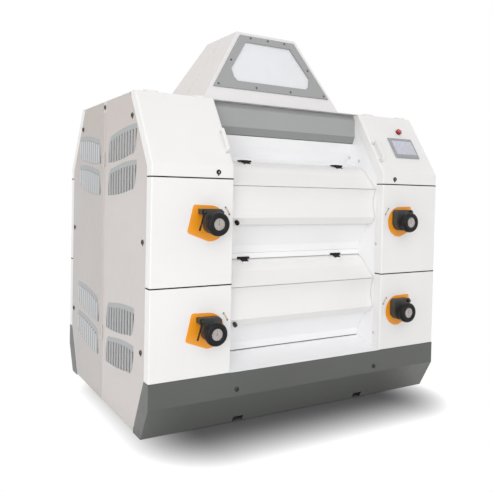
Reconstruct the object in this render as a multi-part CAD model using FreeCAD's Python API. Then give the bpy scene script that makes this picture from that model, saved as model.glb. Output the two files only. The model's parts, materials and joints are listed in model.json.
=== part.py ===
import FreeCAD, Part

import math
import os

from FreeCAD import Rotation, Vector

# Eight-roll powder mill with two decks. Millimetres, +Z up, +X along the rolls.
# Origin: middle of the machine on the floor. The front is -Y and the rear mirrors it.

# Casing
BODY_LENGTH = 2000.0
BODY_DEPTH = 1530.0
BODY_HEIGHT = 1810.0
SHEET = 3.0
COVER_DEPTH = 62.0
SEAM = 4.0
SEAT = 0.3
RUNNING_FIT = 0.05
CORNER_ROUND = 8.0
LID_BEND_Z = 1420.0
LID_TOP_SETBACK = 255.0
LID_LIP = 2.5
LID_SEAM_Z = 1352.0
PANEL_SEAM_Z = 790.0

# Skirt and base
SKIRT_TOP_Z = 312.0
SKIRT_FOLD_Z = 180.0
SKIRT_FOOT_SETBACK = 95.0
SKIRT_CLEAR_FLOOR = 3.0
SKIRT_NOTCH_X = 432.0
SKIRT_NOTCH_WIDTH = 64.0
SKIRT_NOTCH_HEIGHT = 36.0
TOE_REAR_Z = 364.0
BASE_HEIGHT = 120.0
BASE_WIDTH = 1080.0
BASE_PLATE = 15.0
BASE_RAIL = 60.0
ANCHOR_HOLE = 22.0
ANCHOR_INSET = 80.0
OUTLET_LENGTH = 960.0
OUTLET_WIDTH = 170.0
OUTLET_Y = 290.0

# Frames
SIDE_PLATE = 25.0
END_PLATE = 12.0
END_PLATE_INSET = 38.0
END_POST = 60.0
END_RAIL_Z = 960.0

# End doors
DOOR_DEPTH = 25.0
DOOR_GAP = 3.0
DOOR_FOOT_Z = 12.0
DOOR_FOOT_Y = 555.0
HINGE_OFFSET = 6.0
HINGE_RADIUS = 4.5
HINGE_PIN = 2.5
HINGE_LENGTH = 60.0
HINGE_LUG = 10.0
DOOR_HINGE_Z = (420.0, 1460.0)
KEEPER_DROP = 68.0
STRIP_FOOT_Z = 100.0
KEEPER_WIDTH = 60.0
PETAL_WIDTH = 500.0
PETAL_HEIGHT = 192.0
PETAL_INNER_Y = 62.0
PETAL_KNEE = (27.0, 111.0)
PETAL_BEND = (45.0, 143.0)
PETAL_RUN = (92.0, 156.5)
PETAL_CREST = (280.0, 183.4)
PETAL_CENTRES_Z = (361.0, 561.0, 1345.0, 1536.0)
PETAL_SLOTS = 11
PETAL_SLOT = 16.0
PETAL_BAND = 28.0
LOCK_RADIUS = 13.0
LOCK_HEIGHT = 4.0
LOCK_SHANK = 14.0
DOOR_LOCK_DROP = 130.0
DOOR_LOCK_Y = (479.0, 660.0, 658.0)
DOOR_LOCK_Z = (1016.0, 450.0)
LID_LOCK_X = 627.0
LID_LOCK_Z = 1384.0

# Rolls and their bearings
ROLL_RADIUS = 125.0
ROLL_LENGTH = 1000.0
ROLL_END_GAP = 33.0
ROLL_GAP = 0.5
FAST_ROLL_Y = 155.0
UPPER_ROLL_Z = 1116.0
DECK_PITCH = 562.0
JOURNAL_RADIUS = 45.0
SHAFT_HOLE = 60.0
HOUSING_LENGTH = 145.0
HOUSING_HALF = 75.0
HOUSING_CHAMFER = 22.0
GEAR_CASE_LENGTH = 245.0
GEAR_CASE_WALL = 14.0
JOURNAL_TAIL = 14.0
PULLEY_RADIUS = 110.0
PULLEY_WIDTH = 95.0
PULLEY_START = 760.0
FEED_ROLL_RADIUS = 60.0
FEED_ROLL_Y = 330.0
FEED_ROLL_Z = 1385.0
FEED_JOURNAL = 20.0
FEED_ROLL_CLEAR = 8.0

# Roll gap adjusters
WHEEL_X = 672.0
WHEEL_RADIUS = 62.0
WHEEL_WIDTH = 40.0
WHEEL_STANDOFF = 73.0
WHEEL_HUB = 22.0
WHEEL_CHAMFER = 7.0
DIAL_RADIUS = 31.0
DIAL_RECESS = 4.0
SPINDLE_RADIUS = 10.0
SPINDLE_END_Y = 596.0
ADJUSTER_DEPTH = 40.0
ADJUSTER_INNER = 60.0
ADJUSTER_OUTER = 46.0
SPINDLE_HOLE = 13.0
PLATE_RADIUS = 94.0
PLATE_CORNER = 14.0
PLATE_OUTER_TOP = (97.0, 97.0)
PLATE_OUTER_FOOT = (131.0, -48.0)
LEVER_OFFSET = (57.0, 62.0)
LEVER_LENGTH = 95.0
LEVER_LEAN = 15.0
LEVER_HUB = 12.0
LEVER_WIDTH = 10.0
LEVER_TIP = 6.5
LEVER_STUD = 5.0
ARM_HALF = 18.0
ARM_FRONT_Y = 650.0

# Roll covers, flaps and fixed front sheets: (distance from the middle plane, height)
COVER_TOP = (697.0, 1316.0)
COVER_WAIST = (676.0, 1225.0)
COVER_LIP_TOP = (699.0, 1140.0)
COVER_LIP_FOOT = (670.0, 1101.0)
COVER_LIP_BACK = (636.0, 1097.0)
COVER_PIVOT = (672.0, 1294.0)
COVER_PIN = 6.0
CHEEK_INSET = 3.0
FLAP_TOP = (548.0, 1453.0)
FLAP_BULGE = (592.0, 1429.0)
FLAP_KNEE = (622.0, 1395.0)
FLAP_FOOT = (697.0, 1321.0)
FLAP_AXIS = (545.0, 1462.0)
FLAP_HINGE_X = 340.0
FLAP_HINGE_WIDTH = 80.0
FLAP_HINGE_LEAF = 18.0
FLAP_PIN = 3.0
FLAP_KNUCKLE = 6.5
SHELF_BACK = (391.0, 1492.0)
SHELF_FRONT = (539.5, 1457.9)
THROAT_KNEE = (435.0, 1560.0)
THROAT_TOP_Y = 464.0
THROAT_DROP = 194.0
UNDERCUT_TOP = (628.0, 1092.0)
UNDERCUT_KNEE = (556.0, 975.0)
UNDERCUT_FOOT = (548.0, 930.0)
SHELF_CORNER = 520.0
KNOB_X = 470.0
KNOB_RADIUS = 9.0

# Grey cross beam between the columns: (distance from the middle plane, depth below the roof)
BEAM_TOP = ((420.0, 4.0), (455.0, 4.0), (478.0, 38.0))
BEAM_FOOT = ((482.0, 146.0), (464.0, 190.0), (420.0, 190.0))

# Hood with its windows and inlets
HOOD_FOOT = (531.0, 336.0)
HOOD_HEAD = (223.0, 206.0)
HOOD_TOP_Z = 2302.0
ROOF_OPENING = (960.0, 560.0)
INLET_RADIUS = 75.0
INLET_Y = 95.0
WINDOW_PROUD = 8.0
WINDOW_FOOT = (437.0, 114.0)
WINDOW_HEAD = (206.0, 486.0)
WINDOW_HOLE = ((262.0, 166.0), (285.0, 191.0), (297.0, 246.0), (168.0, 441.0))
GLASS_MARGIN = 12.0
GLASS_THICKNESS = 5.0

# Grips, touch panel and emergency button on the sloped lids: distances run down the slope
GRIP_X = 550.0
GRIP_MIDDLE = 304.0
GRIP_LENGTH = 150.0
GRIP_HEIGHT = 36.0
GRIP_THICKNESS = 11.0
GRIP_WIDTH = 16.0
PANEL_X = 803.0
PANEL_MIDDLE = 262.0
PANEL_SIZE = (205.0, 158.0)
PANEL_PROUD = 14.0
PANEL_CHAMFER = 7.0
SCREEN_SIZE = (178.0, 112.0)
SCREEN_RECESS = 2.5
BUTTON_X = 826.0
BUTTON_MIDDLE = 126.0
BUTTON_RADIUS = 20.0
BUTTON_STEM = 11.0
BUTTON_TRAVEL = 6.0

# Inner chutes
DIVIDER_DROP = 20.0
DIVIDER_FOOT = (235.0, 1440.0)
CHUTE_TOP = ((45.0, 400.0), (520.0, 356.0))
CHUTE_FOOT_Z = 123.0

HALF_L = BODY_LENGTH / 2
HALF_D = BODY_DEPTH / 2
OPENING_LENGTH = ROLL_LENGTH + 2 * ROLL_END_GAP
WALL_X = OPENING_LENGTH / 2
ANCHOR_X = HALF_L - ANCHOR_INSET
ANCHOR_Y = BASE_WIDTH / 2 - ANCHOR_INSET / 2
STRIP_TOP_Z = BODY_HEIGHT - KEEPER_DROP
DOOR_LOCKS = tuple(zip(DOOR_LOCK_Y, (BODY_HEIGHT - DOOR_LOCK_DROP, *DOOR_LOCK_Z)))
THROAT_TOP = (THROAT_TOP_Y, BODY_HEIGHT - THROAT_DROP)
FRAME_Y = HALF_D - COVER_DEPTH
ROOF_Y = HALF_D - LID_TOP_SETBACK
SLOW_ROLL_Y = FAST_ROLL_Y + 2 * ROLL_RADIUS + ROLL_GAP
LOWER_ROLL_Z = UPPER_ROLL_Z - DECK_PITCH
INNER_LENGTH = OPENING_LENGTH - 2 * SEAT
COVER_LENGTH = OPENING_LENGTH - 6.0
FLOOR_Y = HALF_D - SKIRT_FOOT_SETBACK
SLOPE_RUN = Vector(0, LID_TOP_SETBACK, BODY_HEIGHT - LID_BEND_Z)
SLOPE_LENGTH = SLOPE_RUN.Length
SLOPE_ANGLE = math.degrees(math.atan2(BODY_HEIGHT - LID_BEND_Z, LID_TOP_SETBACK))
SIDES = (("left", -1), ("right", 1))
FACES = (("front", -1), ("rear", 1))
DECKS = (("upper", 0.0), ("lower", -DECK_PITCH))


def on_x(u, v):
    """Point of a section across the machine: u is Y, v is Z."""
    return Vector(0, u, v)


def on_y(u, v):
    """Point of a section along the machine: u is X, v is Z."""
    return Vector(u, 0, v)


def on_z(u, v):
    """Point of a plan section: u is X, v is Y."""
    return Vector(u, v, 0)


def path(plane, start, *steps):
    """Open wire of lines, and of arcs where a step gives a middle point and an end point."""
    edges = []
    here = plane(*start)
    for step in steps:
        if isinstance(step[0], tuple):
            middle, there = plane(*step[0]), plane(*step[1])
            edges.append(Part.Arc(here, middle, there).toShape())
        else:
            there = plane(*step)
            edges.append(Part.LineSegment(here, there).toShape())
        here = there
    return Part.Wire(edges)


def front(points):
    """Turns (distance from the middle plane, height) into front Y and Z, for points and arc pairs."""
    turned = []
    for point in points:
        if isinstance(point[0], tuple):
            turned.append(tuple((-p[0], p[1]) for p in point))
        else:
            turned.append((-point[0], point[1]))
    return turned


def along_x(face, middle, length):
    face = face.copy()
    face.translate(Vector(middle - length / 2, 0, 0))
    return face.extrude(Vector(length, 0, 0))


def prism_x(points, middle, length):
    """Solid of one Y-Z outline along X."""
    return along_x(Part.Face(path(on_x, *points, points[0])), middle, length)


def folded_sheet(points, thickness, middle, length):
    """Sheet folded along a Y-Z path; positive thickness lies to the right of the path."""
    wire = path(on_x, *points)
    section = wire.makeOffset2D(thickness, join=2, fill=True, openResult=True)
    return along_x(section, middle, length)


def box(size, centre):
    solid = Part.makeBox(*size)
    solid.translate(Vector(*centre) - Vector(*size) / 2)
    return solid


def rod(radius, start, end):
    start, end = Vector(*start), Vector(*end)
    return Part.makeCylinder(radius, (end - start).Length, start, end - start)


def joined(shapes):
    shapes = list(shapes)
    result = shapes[0]
    for shape in shapes[1:]:
        result = result.fuse(shape)
    return result.removeSplitter()


def shifted(shape, x=0.0, y=0.0, z=0.0):
    shape = shape.copy()
    shape.translate(Vector(x, y, z))
    return shape


def mirrored(shape, side, face):
    """Moves a solid made at the front right quarter to another quarter."""
    origin = Vector(0, 0, 0)
    if side < 0:
        shape = shape.mirror(origin, Vector(1, 0, 0))
    if face > 0:
        shape = shape.mirror(origin, Vector(0, 1, 0))
    return shape


def export(name, *solids):
    found = []
    for shape in solids:
        found.extend(shape.Solids)
    shape = found[0] if len(found) == 1 else Part.makeCompound(found)
    shape.exportStep("parts/" + name + ".step")


# Hinges and locks


def knuckle_hinge(leaf_moving, leaf_fixed, axis_point, direction):
    """Tube fused to the moving leaf, on a pin whose ends sit in the fixed leaf's lugs."""
    axis = Vector(*direction)
    at = Vector(*axis_point)
    half = HINGE_LENGTH / 2
    tube = Part.makeCylinder(HINGE_RADIUS, HINGE_LENGTH, at - axis * half, axis)
    bore = Part.makeCylinder(HINGE_PIN + RUNNING_FIT, HINGE_LENGTH, at - axis * half, axis)
    end = HINGE_LUG + SEAT
    pin = Part.makeCylinder(HINGE_PIN, HINGE_LENGTH + 2 * end, at - axis * (half + end), axis)
    return joined([leaf_moving, tube]).cut(bore), joined([leaf_fixed, pin])


def lock_at(y, z):
    """Quarter-turn lock on a right-hand end door, with a square shank through the sheet."""
    head = Part.makeCylinder(LOCK_RADIUS, LOCK_HEIGHT, Vector(HALF_L, y, z), Vector(1, 0, 0))
    shank = box((DOOR_DEPTH, LOCK_SHANK, LOCK_SHANK), (HALF_L - DOOR_DEPTH / 2, y, z))
    slot = box((2.0, 2 * LOCK_RADIUS, 3.0), (HALF_L + LOCK_HEIGHT, y, z))
    return joined([head, shank]).cut(slot)


# Sections shared by the column covers and the frames behind them


def slope_normal():
    """Unit vector out of the front sloped lid."""
    run = Vector(0, LID_TOP_SETBACK, BODY_HEIGHT - LID_BEND_Z)
    run.normalize()
    return Vector(0, -run.z, run.y)


def slope_point(x, down, out=0.0):
    """Point on the front lid: down is measured from the top edge along the slope."""
    run = Vector(SLOPE_RUN)
    run.normalize()
    return Vector(x, -ROOF_Y, BODY_HEIGHT) - run * down + slope_normal() * out


def cover_back(depth, z_limit):
    """Point where the line at a depth behind the front slope reaches a height or the frame line."""
    run = Vector(SLOPE_RUN)
    run.normalize()
    start = Vector(0, -ROOF_Y, BODY_HEIGHT) - slope_normal() * depth
    step = (z_limit - start.z) / run.z
    return start + run * step


def slope_meets_frame(depth):
    """Height at which the line behind the slope crosses the vertical line behind the doors."""
    run = Vector(SLOPE_RUN)
    run.normalize()
    start = Vector(0, -ROOF_Y, BODY_HEIGHT) - slope_normal() * depth
    step = (-(HALF_D - depth) - start.y) / run.y
    return (start + run * step).z


def column_cover(z_low, z_high):
    """Vertical front cover of a right-hand column: a pan with returns on all four sides."""
    width = HALF_L - WALL_X
    centre = Vector(WALL_X + width / 2, -HALF_D + COVER_DEPTH / 2, (z_low + z_high) / 2)
    outer = box((width, COVER_DEPTH, z_high - z_low), centre)
    edges = [e for e in outer.Edges if abs(e.BoundBox.YMax + HALF_D) < 0.01 and e.BoundBox.ZLength > 1]
    outer = outer.makeFillet(CORNER_ROUND, edges)
    hollow = (width - 2 * SHEET, COVER_DEPTH, z_high - z_low - 2 * SHEET)
    inner = box(hollow, centre + Vector(0, SHEET, 0))
    return outer.cut(inner)


def lid_swing_corner():
    """Corner of a lid's returns under the roof, cut to the circle on which they swing."""
    run = Vector(SLOPE_RUN)
    run.normalize()
    axis = Vector(0, -ROOF_Y + HINGE_OFFSET, BODY_HEIGHT + HINGE_RADIUS)
    start = cover_back(COVER_DEPTH, BODY_HEIGHT)
    foot = start + run * (axis - start).dot(run)
    reach = (axis - foot).Length - SEAT
    return [(axis.y + reach, BODY_HEIGHT), (foot.y, foot.z)]


def column_lid():
    """Sloped lid of the front right column, open at the back, with its lock hole."""
    width = HALF_L - WALL_X
    knee_z = slope_meets_frame(COVER_DEPTH)
    z_low = LID_SEAM_Z + SEAM / 2
    outline = [(-HALF_D, z_low), (-HALF_D, LID_BEND_Z), (-ROOF_Y, BODY_HEIGHT), *lid_swing_corner()]
    outline += [(-FRAME_Y, knee_z), (-FRAME_Y, z_low)]
    outer = prism_x(outline, WALL_X + width / 2, width)
    edges = []
    for edge in outer.Edges:
        middle = edge.CenterOfMass
        upright = edge.BoundBox.XLength < 0.01 and edge.BoundBox.ZLength > 40
        if upright and middle.y < -ROOF_Y - 20 and abs(middle.y - (-FRAME_Y)) > 1:
            if abs(middle.y + HALF_D) < 1 or abs(middle.y + HALF_D - LID_TOP_SETBACK / 2) < 1:
                edges.append(edge)
    outer = outer.makeFillet(CORNER_ROUND, edges)
    slope_in = cover_back(SHEET, BODY_HEIGHT)
    bend_in = slope_meets_frame(SHEET)
    hollow = [(-HALF_D + SHEET, z_low + SHEET), (-HALF_D + SHEET, bend_in), (slope_in.y, BODY_HEIGHT)]
    hollow += [(slope_in.y, BODY_HEIGHT + 1), (0, BODY_HEIGHT + 1), (0, z_low + SHEET)]
    inner = prism_x(hollow, WALL_X + width / 2, width - 2 * SHEET)
    roof_edge = Vector(WALL_X, -ROOF_Y + LID_LIP, BODY_HEIGHT - SHEET - SEAT)
    roof_clearance = Part.makeBox(width, HALF_D, COVER_DEPTH, roof_edge)
    hole = lock_rod(LOCK_SHANK / 2 + SEAT, 1.0, SHEET + 1)
    return outer.cut(inner).cut(roof_clearance).cut(hole)


def lock_rod(radius, ahead, behind):
    """Round solid on the axis of the lid lock, from ahead of the lid's face to behind it."""
    front_y, back_y = -HALF_D - ahead, -HALF_D + behind
    return rod(radius, (LID_LOCK_X, front_y, LID_LOCK_Z), (LID_LOCK_X, back_y, LID_LOCK_Z))


def lid_lock():
    head = lock_rod(LOCK_RADIUS, LOCK_HEIGHT, 0)
    shank = lock_rod(LOCK_SHANK / 2, 0, DOOR_DEPTH)
    slot = box((2 * LOCK_RADIUS, 2.0, 3.0), (LID_LOCK_X, -HALF_D - LOCK_HEIGHT, LID_LOCK_Z))
    return joined([head, shank]).cut(slot)


def grip():
    """Bow grip that stands on the slope along its length."""
    half = GRIP_LENGTH / 2
    high = GRIP_HEIGHT
    round_out = 20.0
    outer = [(-half, 0), (-half, high - round_out)]
    outer += [((-half + 5.9, high - 5.9), (-half + round_out, high))]
    outer += [(half - round_out, high), ((half - 5.9, high - 5.9), (half, high - round_out)), (half, 0)]
    thick = GRIP_THICKNESS
    inner = [(half - thick, 0), (half - thick, high - round_out)]
    inner += [((half - thick - 2.6, high - thick - 2.6), (half - round_out, high - thick))]
    inner += [(-half + round_out, high - thick)]
    inner += [((-half + thick + 2.6, high - thick - 2.6), (-half + thick, high - round_out))]
    inner += [(-half + thick, 0), (-half, 0)]
    wire = path(on_y, *outer, *inner)
    bow = Part.Face(wire).extrude(Vector(0, GRIP_WIDTH, 0))
    bow.translate(Vector(0, -GRIP_WIDTH / 2, 0))
    return placed_on_slope(bow, GRIP_X, GRIP_MIDDLE)


def placed_on_slope(shape, x, down):
    """Places a solid made with X down the slope, Y across and Z outward."""
    run = Vector(SLOPE_RUN)
    run.normalize()
    turn = Rotation(-run, Vector(1, 0, 0), slope_normal(), "ZXY")
    shape = shape.copy()
    shape.Placement = FreeCAD.Placement(slope_point(x, down), turn)
    return shape


def lid_hinges():
    """Two hinges of the front right lid: moving knuckles on the lid, fixed ones on the roof."""
    y, z = -ROOF_Y + HINGE_OFFSET, BODY_HEIGHT + HINGE_RADIUS
    moving, fixed = [], []
    for x in (WALL_X + 90.0, HALF_L - 90.0):
        web = [(-ROOF_Y - 0.2, BODY_HEIGHT - 0.4), (y + 1.5, z - HINGE_RADIUS + 0.6)]
        web += [(y - 2, z + 2), (y - HINGE_RADIUS, z)]
        leaf = prism_x(web, x, HINGE_LENGTH)
        reach = HINGE_LENGTH / 2 + SEAT + HINGE_LUG / 2
        lug = [(y - 3, z - 3), (y + 1, BODY_HEIGHT), (y + 12, BODY_HEIGHT), (y + 12, BODY_HEIGHT + 2)]
        lug += [(y + 3, z + 3), (y - 3, z + 3)]
        rest = [prism_x(lug, x + end, HINGE_LUG) for end in (-reach, reach)]
        one, other = knuckle_hinge(leaf, joined(rest), (x, y, z), (1, 0, 0))
        moving.append(one)
        fixed.append(other)
    return moving, fixed


def build_lids():
    moving, fixed = lid_hinges()
    lid = joined([column_lid()] + moving)
    bow = grip()
    lock = lid_lock()
    for side_name, side in SIDES:
        for face_name, face in FACES:
            body = lid
            if side_name == "right" and face_name == "front":
                body = lid.cut(button_hole())
            parts = [mirrored(s, side, face) for s in (body, bow, lock)]
            export("lid_" + side_name + "_" + face_name, *parts)
    return fixed


# End doors with their petal grilles


def petal(z):
    """Leaf outline of one grille on the right end, front half, pointed at two opposite corners."""
    wide, tall = PETAL_WIDTH, PETAL_HEIGHT
    outline = [(0, 0), PETAL_KNEE, (PETAL_BEND, PETAL_RUN), (PETAL_CREST, (wide, tall))]
    turned = [(wide - w, tall - h) for w, h in (PETAL_KNEE, PETAL_BEND, PETAL_RUN, PETAL_CREST)]
    outline += [turned[0], (turned[1], turned[2]), (turned[3], (0, 0))]
    leaf = Part.Face(path(on_x, *outline)).mirror(Vector(0, 0, 0), Vector(0, 1, 0))
    leaf.translate(Vector(HALF_L - 2 * SHEET, -PETAL_INNER_Y, z - tall / 2))
    return leaf.extrude(Vector(3 * SHEET, 0, 0))


def petal_slots(z):
    """Upright slots of one petal, under a plain band along its upper edge."""
    pitch = PETAL_WIDTH / PETAL_SLOTS
    strips = []
    for number in range(PETAL_SLOTS):
        y = -PETAL_INNER_Y - (number + 0.5) * pitch
        strips.append(box((4 * SHEET, PETAL_SLOT, 2 * PETAL_HEIGHT), (HALF_L, y, z)))
    return petal(z).common(petal(z - PETAL_BAND)).common(Part.makeCompound(strips))


def door_outline(inset):
    """Front half of the right end, inside the edges of the column covers."""
    gap = COVER_DEPTH + SEAM / 2
    top = cover_back(gap, BODY_HEIGHT - SHEET - SEAT - inset)
    knee = slope_meets_frame(gap)
    outline = [(-DOOR_GAP / 2 - inset, DOOR_FOOT_Z + inset), (-DOOR_GAP / 2 - inset, top.z)]
    shift = inset / math.cos(math.radians(90 - SLOPE_ANGLE))
    outer_y = -HALF_D + gap + inset
    outline += [(top.y + shift, top.z), (outer_y, knee), (outer_y, SKIRT_TOP_Z)]
    outline += [(-DOOR_FOOT_Y + inset, DOOR_FOOT_Z + inset)]
    return outline


def end_door():
    """Front half door of the right end: a shallow pan with slots, a notch and three square holes."""
    middle = HALF_L - DOOR_DEPTH / 2
    outer = prism_x(door_outline(0.0), middle, DOOR_DEPTH)
    inner = prism_x(door_outline(SHEET), middle - SHEET, DOOR_DEPTH)
    notch_half = (KEEPER_WIDTH + DOOR_GAP) / 2
    notch = Part.makeBox(2 * DOOR_DEPTH, 2 * notch_half, DOOR_DEPTH + BODY_HEIGHT - STRIP_TOP_Z)
    notch.translate(Vector(HALF_L - DOOR_DEPTH, -notch_half, STRIP_TOP_Z))
    lining = Part.makeBox(DOOR_DEPTH, notch_half + SHEET, BODY_HEIGHT)
    lining.translate(Vector(HALF_L - DOOR_DEPTH, -notch_half - SHEET, STRIP_TOP_Z - SHEET))
    door = joined([outer.cut(inner), lining.common(outer)]).cut(notch)
    cuts = [petal_slots(z) for z in PETAL_CENTRES_Z]
    for y, z in DOOR_LOCKS:
        cuts.append(box((4 * SHEET, LOCK_SHANK + 2 * SEAT, LOCK_SHANK + 2 * SEAT), (HALF_L, -y, z)))
    return door.cut(Part.makeCompound(cuts))


def door_hinges():
    """Hinges of the front half door at the right end; the fixed knuckles sit on the centre strip."""
    x, y = HALF_L + HINGE_RADIUS - 0.2, -HINGE_OFFSET
    moving, fixed = [], []
    for z in DOOR_HINGE_Z:
        leaf = box((0.6, HINGE_RADIUS * 2, HINGE_LENGTH), (HALF_L + 0.1, y - HINGE_RADIUS / 2, z))
        reach = HINGE_LENGTH / 2 + SEAT + HINGE_LUG / 2
        eye = HINGE_PIN + SHEET / 6
        rest = []
        for end in (z - reach, z + reach):
            rest.append(box((2 * eye, HINGE_OFFSET, HINGE_LUG), (x, y / 2, end)))
            rest.append(rod(eye, (x, y, end - HINGE_LUG / 2), (x, y, end + HINGE_LUG / 2)))
        one, other = knuckle_hinge(leaf, joined(rest), (x, y, z), (0, 0, 1))
        moving.append(one)
        fixed.append(other)
    return moving, fixed


def build_end_doors():
    moving, fixed = door_hinges()
    door = joined([end_door()] + moving)
    locks = [lock_at(-y, z) for y, z in DOOR_LOCKS]
    for side_name, side in SIDES:
        for face_name, face in FACES:
            parts = [mirrored(s, side, face) for s in [door] + locks]
            export("end_door_" + side_name + "_" + face_name, *parts)
    return fixed


def end_plate(door_hinge_parts):
    """Windowed end frame behind the two doors of the right end, with the centre hinge strip."""
    x = HALF_L - END_PLATE_INSET - END_PLATE / 2
    gap = COVER_DEPTH + SEAM
    top = cover_back(gap, BODY_HEIGHT - SHEET)
    knee = slope_meets_frame(gap)
    outline = [(-BASE_WIDTH / 2, BASE_HEIGHT), (-BASE_WIDTH / 2, SKIRT_TOP_Z)]
    outline += [(-(HALF_D - gap), SKIRT_TOP_Z + END_POST), (-(HALF_D - gap), knee), (top.y, top.z)]
    outline += [(-y, z) for y, z in reversed(outline)]
    plate = prism_x(outline, x, END_PLATE)
    window_y = HALF_D - gap - 2 * END_POST
    cuts = []
    for z_low, z_high in (
        (BASE_HEIGHT + 2 * END_POST, END_RAIL_Z - END_POST / 2),
        (END_RAIL_Z + END_POST / 2, LID_BEND_Z + END_POST),
    ):
        for face in (-1, 1):
            size = (4 * END_PLATE, window_y - END_POST / 2, z_high - z_low)
            cuts.append(box(size, (x, face * (window_y + END_POST / 2) / 2, (z_low + z_high) / 2)))
    plate = plate.cut(Part.makeCompound(cuts))
    strip_low, strip_high = STRIP_FOOT_Z + BASE_HEIGHT, STRIP_TOP_Z
    strip_back = x + END_PLATE / 2
    strip_front = HALF_L + HINGE_RADIUS
    strip = box(
        (strip_front - strip_back, DOOR_GAP - 4 * SEAT, strip_high - strip_low),
        ((strip_front + strip_back) / 2, 0, (strip_low + strip_high) / 2),
    )
    keeper_z = (STRIP_TOP_Z + BODY_HEIGHT - SHEET) / 2
    keeper = box(
        (HALF_L - strip_back, KEEPER_WIDTH - SEAT, BODY_HEIGHT - SHEET - STRIP_TOP_Z - SEAT),
        ((HALF_L + strip_back) / 2, 0, keeper_z),
    )
    stud = rod(LOCK_RADIUS, (HALF_L, 0, keeper_z), (HALF_L + LOCK_HEIGHT, 0, keeper_z))
    mates = door_hinge_parts + [s.mirror(Vector(0, 0, 0), Vector(0, 1, 0)) for s in door_hinge_parts]
    return joined([plate, strip, keeper, stud] + mates)


# Frame, base, skirts and roof


def side_outline():
    gap = COVER_DEPTH + SEAT
    top = cover_back(gap, BODY_HEIGHT - SHEET)
    knee = slope_meets_frame(gap)
    half = [(-BASE_WIDTH / 2, BASE_HEIGHT), (-BASE_WIDTH / 2, SKIRT_TOP_Z - COVER_DEPTH)]
    half += [(-(HALF_D - gap), SKIRT_TOP_Z + SEAT), (-(HALF_D - gap), knee), (top.y, top.z)]
    return half + [(-y, z) for y, z in reversed(half)]


def shaft_opening(face, z):
    """Slot with round ends that lets both journals of a roll pair through the side plate."""
    ends = [rod_x(SHAFT_HOLE, face * y, z, WALL_X, SIDE_PLATE) for y in (FAST_ROLL_Y, SLOW_ROLL_Y)]
    middle = face * (FAST_ROLL_Y + SLOW_ROLL_Y) / 2
    size = (SIDE_PLATE, SLOW_ROLL_Y - FAST_ROLL_Y, 2 * SHAFT_HOLE)
    between = box(size, (WALL_X + SIDE_PLATE / 2, middle, z))
    return joined([between] + ends)


def side_plate():
    """Right-hand side plate: shaft openings, feed roll bores and pivot pins for the covers."""
    plate = prism_x(side_outline(), WALL_X + SIDE_PLATE / 2, SIDE_PLATE)
    cuts = []
    pins = []
    for face in (-1, 1):
        bore = FEED_JOURNAL + RUNNING_FIT
        cuts.append(rod_x(bore, face * FEED_ROLL_Y, FEED_ROLL_Z, WALL_X, SIDE_PLATE))
        for _, drop in DECKS:
            cuts.append(shaft_opening(face, UPPER_ROLL_Z + drop))
            y, z = COVER_PIVOT
            start = WALL_X - CHEEK_INSET - 2 * SHEET - 1
            pins.append(rod_x(COVER_PIN, face * y, z + drop, start, WALL_X + 1 - start))
    return joined([plate] + pins).cut(Part.makeCompound(cuts))


def rod_x(radius, y, z, start, length):
    return Part.makeCylinder(radius, length, Vector(start, y, z), Vector(1, 0, 0))


def base_frame():
    """Low base: a plate on edge rails and cross ribs, with two outlets and four anchor holes."""
    length = BODY_LENGTH - 2 * END_PLATE_INSET
    plate = box((length, BASE_WIDTH, BASE_PLATE), (0, 0, BASE_HEIGHT - BASE_PLATE / 2))
    rim_out = box((length, BASE_WIDTH, BASE_HEIGHT), (0, 0, BASE_HEIGHT / 2))
    inner_size = (length - 2 * BASE_PLATE, BASE_WIDTH - 2 * BASE_PLATE, BASE_HEIGHT)
    rim_in = box(inner_size, (0, 0, BASE_HEIGHT / 2))
    clear_size = (length - 2 * BASE_RAIL, BASE_WIDTH - 2 * BASE_RAIL, BASE_PLATE)
    flange_in = box(clear_size, (0, 0, BASE_PLATE / 2))
    flange = box((length, BASE_WIDTH, BASE_PLATE), (0, 0, BASE_PLATE / 2)).cut(flange_in)
    ribs = []
    for x in (-WALL_X - SIDE_PLATE / 2, 0, WALL_X + SIDE_PLATE / 2):
        ribs.append(box((BASE_PLATE, BASE_WIDTH - BASE_PLATE, BASE_HEIGHT), (x, 0, BASE_HEIGHT / 2)))
    cuts = []
    for face in (-1, 1):
        cuts.append(box((OUTLET_LENGTH, OUTLET_WIDTH, 3 * BASE_HEIGHT), (0, face * OUTLET_Y, BASE_HEIGHT)))
    reach = BASE_HEIGHT + 2
    for x in (-ANCHOR_X, ANCHOR_X):
        for y in (-ANCHOR_Y, ANCHOR_Y):
            cuts.append(rod(ANCHOR_HOLE / 2, (x, y, -1), (x, y, reach)))
    return joined([plate, rim_out.cut(rim_in), flange] + ribs).cut(Part.makeCompound(cuts))


def base_skirt():
    """Front skirt: upright band, fold, sloped toe and end faces."""
    foot = (-FLOOR_Y, SKIRT_CLEAR_FLOOR)
    bend = (-HALF_D, SKIRT_FOLD_Z)
    head = (-HALF_D, SKIRT_TOP_Z)
    back = (-FRAME_Y, SKIRT_TOP_Z)
    skin = folded_sheet([foot, bend, head, back], SHEET, 0, BODY_LENGTH)
    ends = []
    for side in (-1, 1):
        heel = (-DOOR_FOOT_Y - SEAM, SKIRT_CLEAR_FLOOR)
        ends.append(prism_x([foot, bend, head, back, heel], side * (HALF_L - SHEET / 2), SHEET))
    cuts = []
    for side in (-1, 1):
        size = (SKIRT_NOTCH_WIDTH, 4 * COVER_DEPTH, 2 * SKIRT_NOTCH_HEIGHT)
        cuts.append(box(size, (side * SKIRT_NOTCH_X, -FLOOR_Y, 0)))
    return joined([skin] + ends).cut(Part.makeCompound(cuts))


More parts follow.
